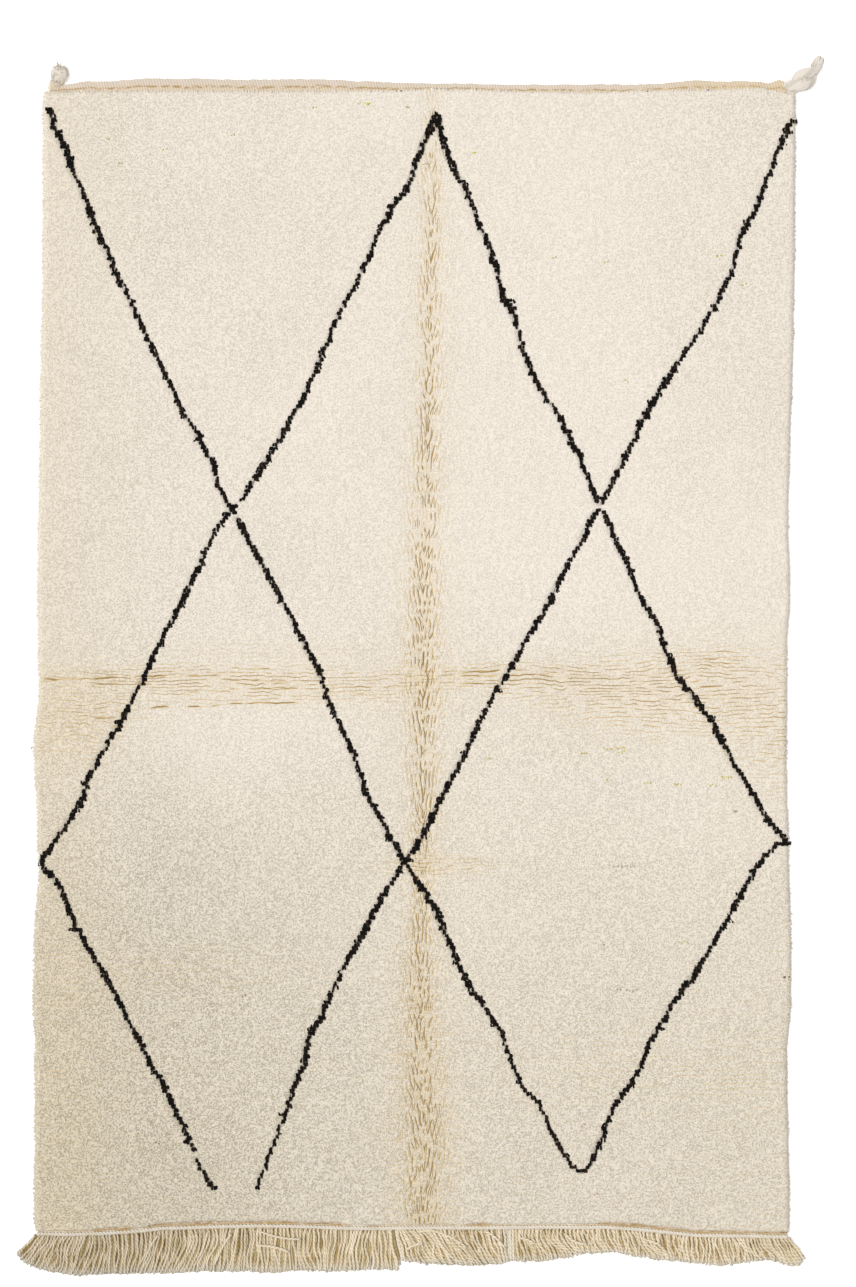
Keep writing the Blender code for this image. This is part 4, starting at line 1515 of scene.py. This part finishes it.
def plied_wool(rows, plies, turn, generator, rings, sides, lumps):
    """A fat twist of wool along a short line, with its ends rounded.

    Each ply is a tube whose middle runs round the line as a flat helix, one full turn in the given length; a
    single ply follows the line. Its radius is a share of the line's half width, times 1 plus a sine that
    winds round it as ridges of fibres, plus lumps of noise.
    """
    line = np.array(rows, float) / 1000
    at = np.arange(len(line))
    fine = np.linspace(0, len(line) - 1, rings)
    x, y, half, high = (np.interp(fine, at, line[:, k]) for k in range(4))
    kernel = np.ones(5) / 5
    x, y, half, high = (np.convolve(np.pad(v, 2, mode="edge"), kernel, "valid") for v in (x, y, half, high))
    direction = unit(np.stack([np.gradient(x), np.gradient(y)], -1))
    gone = np.concatenate([[0], np.hypot(np.diff(x), np.diff(y)).cumsum()])
    ends = np.sqrt(np.clip(np.minimum(gone, gone[-1] - gone) / 0.006, 0.02, 1))
    twisted = plies > 1
    paths, radii = [], []
    for ply in range(plies):
        angle = gone * math.tau / turn + ply * math.tau / plies
        across = half * 0.42 * twisted * np.cos(angle)
        up = high * 0.5 + high * 0.18 * twisted * np.sin(angle)
        paths.append(np.stack([x - direction[:, 1] * across, y + direction[:, 0] * across, up], -1))
        radii.append(half * (0.64 if twisted else 1.0) * ends)
    around = (np.arange(sides) * math.tau / sides)[None, None, :]
    grid = gone[None, :, None] + 0 * around + np.zeros((plies, 1, 1))
    wound = around + grid * 25
    ridges = 0.035 * np.sin(wound * 7 + 3 * noise(grid, wound, 0.01, 2.0, 701))
    uneven = lumps * noise(grid, np.sin(around) * 0.02 + 0 * grid, 0.009, 0.008, 702)
    flat = float(np.mean(high / (2 * half))) * 1.02
    shape = 1 + (ridges + uneven)
    points, faces, values = tubes(np.stack(paths), np.stack(radii), sides, (0, 0, 1), flat=flat, ridge=shape)
    points[:, 2] = np.maximum(points[:, 2], FLOOR_GAP)
    values["tone"] = per_tube(generator.uniform(1.0, 1.15, plies), rings, sides)
    values["share"] = values["share"] * 0
    return points, faces, values


# A loose hair's rings and sides.
HAIR_RINGS = 4
HAIR_SIDES = 4


def hairs(centres, length, radius, generator, up):
    """Loose fibres: thin tubes that start in the wool and stand out in every direction, less so upwards.

    A path is its start plus a random direction times length, plus a random curl that grows as a square.
    """
    count = len(centres)
    aim = unit(generator.normal(0, 1, (count, 3)) * (1, 1, up) + (0, 0, 0.15))
    share = np.linspace(0, 1, HAIR_RINGS)[None, :, None]
    curl = generator.normal(0, 0.25, (count, 1, 3)) * length * share**2
    paths = centres[:, None] + aim[:, None] * length * share + curl
    paths[..., 2] = np.maximum(paths[..., 2], 0.0010)
    radii = radius * np.broadcast_to((1 - 0.5 * share)[..., 0], (count, HAIR_RINGS))
    points, faces, values = tubes(paths, radii, HAIR_SIDES, (0.2, 1, 0.1))
    values["tone"] = per_tube(generator.uniform(0.85, 1.1, count), HAIR_RINGS, HAIR_SIDES)
    values["share"] = values["share"] * 0
    return points, faces, values


def hair_starts(rows, span, count, up, shake, generator):
    """Random places in the wool: rows of its table in the span, at up of their height, shaken each way."""
    places = np.array(rows, float)[generator.integers(*span, count)][:, [0, 1, 3]]
    return places * (1, 1, up) / 1000 + generator.normal(0, 1, places.shape) * shake


class RUG_OT_corner_wool(bpy.types.Operator):
    """Adds the wool at the hem's corners: a twisted tail on the right and a fuzzy tuft on the left."""

    bl_idname = "rug.corner_wool"
    bl_label = "Add Corner Wool"

    def execute(self, context):
        colours = context.scene.rug_colours
        generator = np.random.default_rng(700)
        material = yarn_material(
            "corner_wool", colours.corner, colours.hem_inner, colours.corner,
            pitch=0.060, groove_shade=0.16, duller=0.0,
        )
        tail = plied_wool(TAIL, plies=2, turn=0.100, generator=generator, rings=90, sides=36, lumps=0.03)
        starts = hair_starts(TAIL, (0, 7), 60, 1 / 1.3, (0.005, 0.005, 0.0015), generator)
        fluff = hairs(starts, 0.012, 0.0004, generator, 0.4)
        piece = add_piece("corner_tail_wool", joined(tail, fluff), material)
        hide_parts("corner_tail")
        tuft = plied_wool(TUFT, plies=1, turn=0.05, generator=generator, rings=60, sides=40, lumps=0.12)
        neck = TUFT_NECK / 1000
        tuft[2]["tone"] = tuft[2]["tone"] * (0.35 + 0.65 * step(neck - 0.006, neck + 0.006, tuft[0][:, 1]))
        starts = hair_starts(TUFT, (3, 7), 300, 1 / 1.7, (0.004, 0.004, 0.0024), generator)
        fluff = hairs(starts, 0.010, 0.0007, generator, 0.8)
        piece = add_piece("corner_tuft_wool", joined(tuft, fluff), material)
        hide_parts("corner_tuft")
        return {"FINISHED"}


class RUG_OT_declare_cloth(bpy.types.Operator):
    bl_idname = "rug.declare_cloth"
    bl_label = "Declare Cloth"

    def execute(self, context):
        return {"FINISHED"}


# The stage: half the floor's side, how brightly the floor glows, the sun's apparent size and its turn in
# degrees, the camera's sensor and the place it looks down on.
FLOOR_HALF = 30.0
FLOOR_GLOW = 0.30
SUN_SIZE = 32
SUN_TURN = (-3, -24)
SENSOR_WIDTH = 36
VIEW_MIDDLE = (0.0149, 0.0490)


class RUG_OT_stage(bpy.types.Operator):
    """Adds the pale floor, soft light from above and the camera that looks straight down."""

    bl_idname = "rug.stage"
    bl_label = "Add Stage"

    def execute(self, context):
        scene = context.scene
        settings = scene.rug_stage
        points = np.array([(-1, -1, 0), (1, -1, 0), (1, 1, 0), (-1, 1, 0)]) * FLOOR_HALF
        paint = Finish("floor_paint", 0.9, specular=0.1)
        where = paint.place()
        pale = paint.mix(paint.noise(where, 2.0), (0.90, 0.90, 0.90), (0.92, 0.92, 0.92))
        paint.shader.inputs["Emission Color"].default_value = (1, 1, 1, 1)
        paint.shader.inputs["Emission Strength"].default_value = FLOOR_GLOW
        floor = mesh_object("floor", points, [np.array([[0, 1, 2, 3]])], {}, paint.finish(pale))
        world = bpy.data.worlds.new("studio")
        world.use_nodes = True
        background = world.node_tree.nodes["Background"]
        background.inputs["Color"].default_value = (1, 1, 1, 1)
        background.inputs["Strength"].default_value = settings.fill
        scene.world = world
        key = bpy.data.objects.new("key", bpy.data.lights.new("key", "SUN"))
        key.data.energy = settings.key
        key.data.angle = math.radians(SUN_SIZE)
        key.rotation_euler = (*map(math.radians, SUN_TURN), 0)
        scene.collection.objects.link(key)
        lens = bpy.data.cameras.new("camera")
        lens.lens = settings.lens
        lens.sensor_width = SENSOR_WIDTH
        camera = bpy.data.objects.new("camera", lens)
        distance = settings.view_height * settings.lens / SENSOR_WIDTH
        camera.location = (*VIEW_MIDDLE, distance + scene.rug_pile.height)
        scene.collection.objects.link(camera)
        scene.camera = camera
        scene.view_settings.view_transform = "Standard"
        return {"FINISHED"}


# In the order in which they run.
OPERATORS = (
    RUG_OT_stage,
    RUG_OT_foundation,
    RUG_OT_pile,
    RUG_OT_lattice,
    RUG_OT_edge_tufts,
    RUG_OT_flecks,
    RUG_OT_cord,
    RUG_OT_fringe,
    RUG_OT_corner_wool,
    RUG_OT_declare_cloth,
)


class RUG_PT_panel(bpy.types.Panel):
    """Lists the rug's pieces and their sizes and colours."""

    bl_idname = "RUG_PT_panel"
    bl_label = "Rug"
    bl_space_type = "VIEW_3D"
    bl_region_type = "UI"
    bl_category = "Rug"

    def draw(self, context):
        for operator in OPERATORS:
            self.layout.operator(operator.bl_idname)
        for key, group in SETTINGS.items():
            box = self.layout.box()
            box.label(text=group.__name__)
            for field in group.__annotations__:
                box.prop(getattr(context.scene, key), field)


def register():
    for key, group in SETTINGS.items():
        bpy.utils.register_class(group)
        setattr(bpy.types.Scene, key, bpy.props.PointerProperty(type=group))
    for shown in (*OPERATORS, RUG_PT_panel):
        bpy.utils.register_class(shown)


def unregister():
    for shown in (RUG_PT_panel, *OPERATORS):
        bpy.utils.unregister_class(shown)
    for key, group in SETTINGS.items():
        delattr(bpy.types.Scene, key)
        bpy.utils.unregister_class(group)


def main():
    register()
    for operator in OPERATORS:
        group, name = operator.bl_idname.split(".")
        getattr(getattr(bpy.ops, group), name)()


if __name__ == "__main__":
    main()
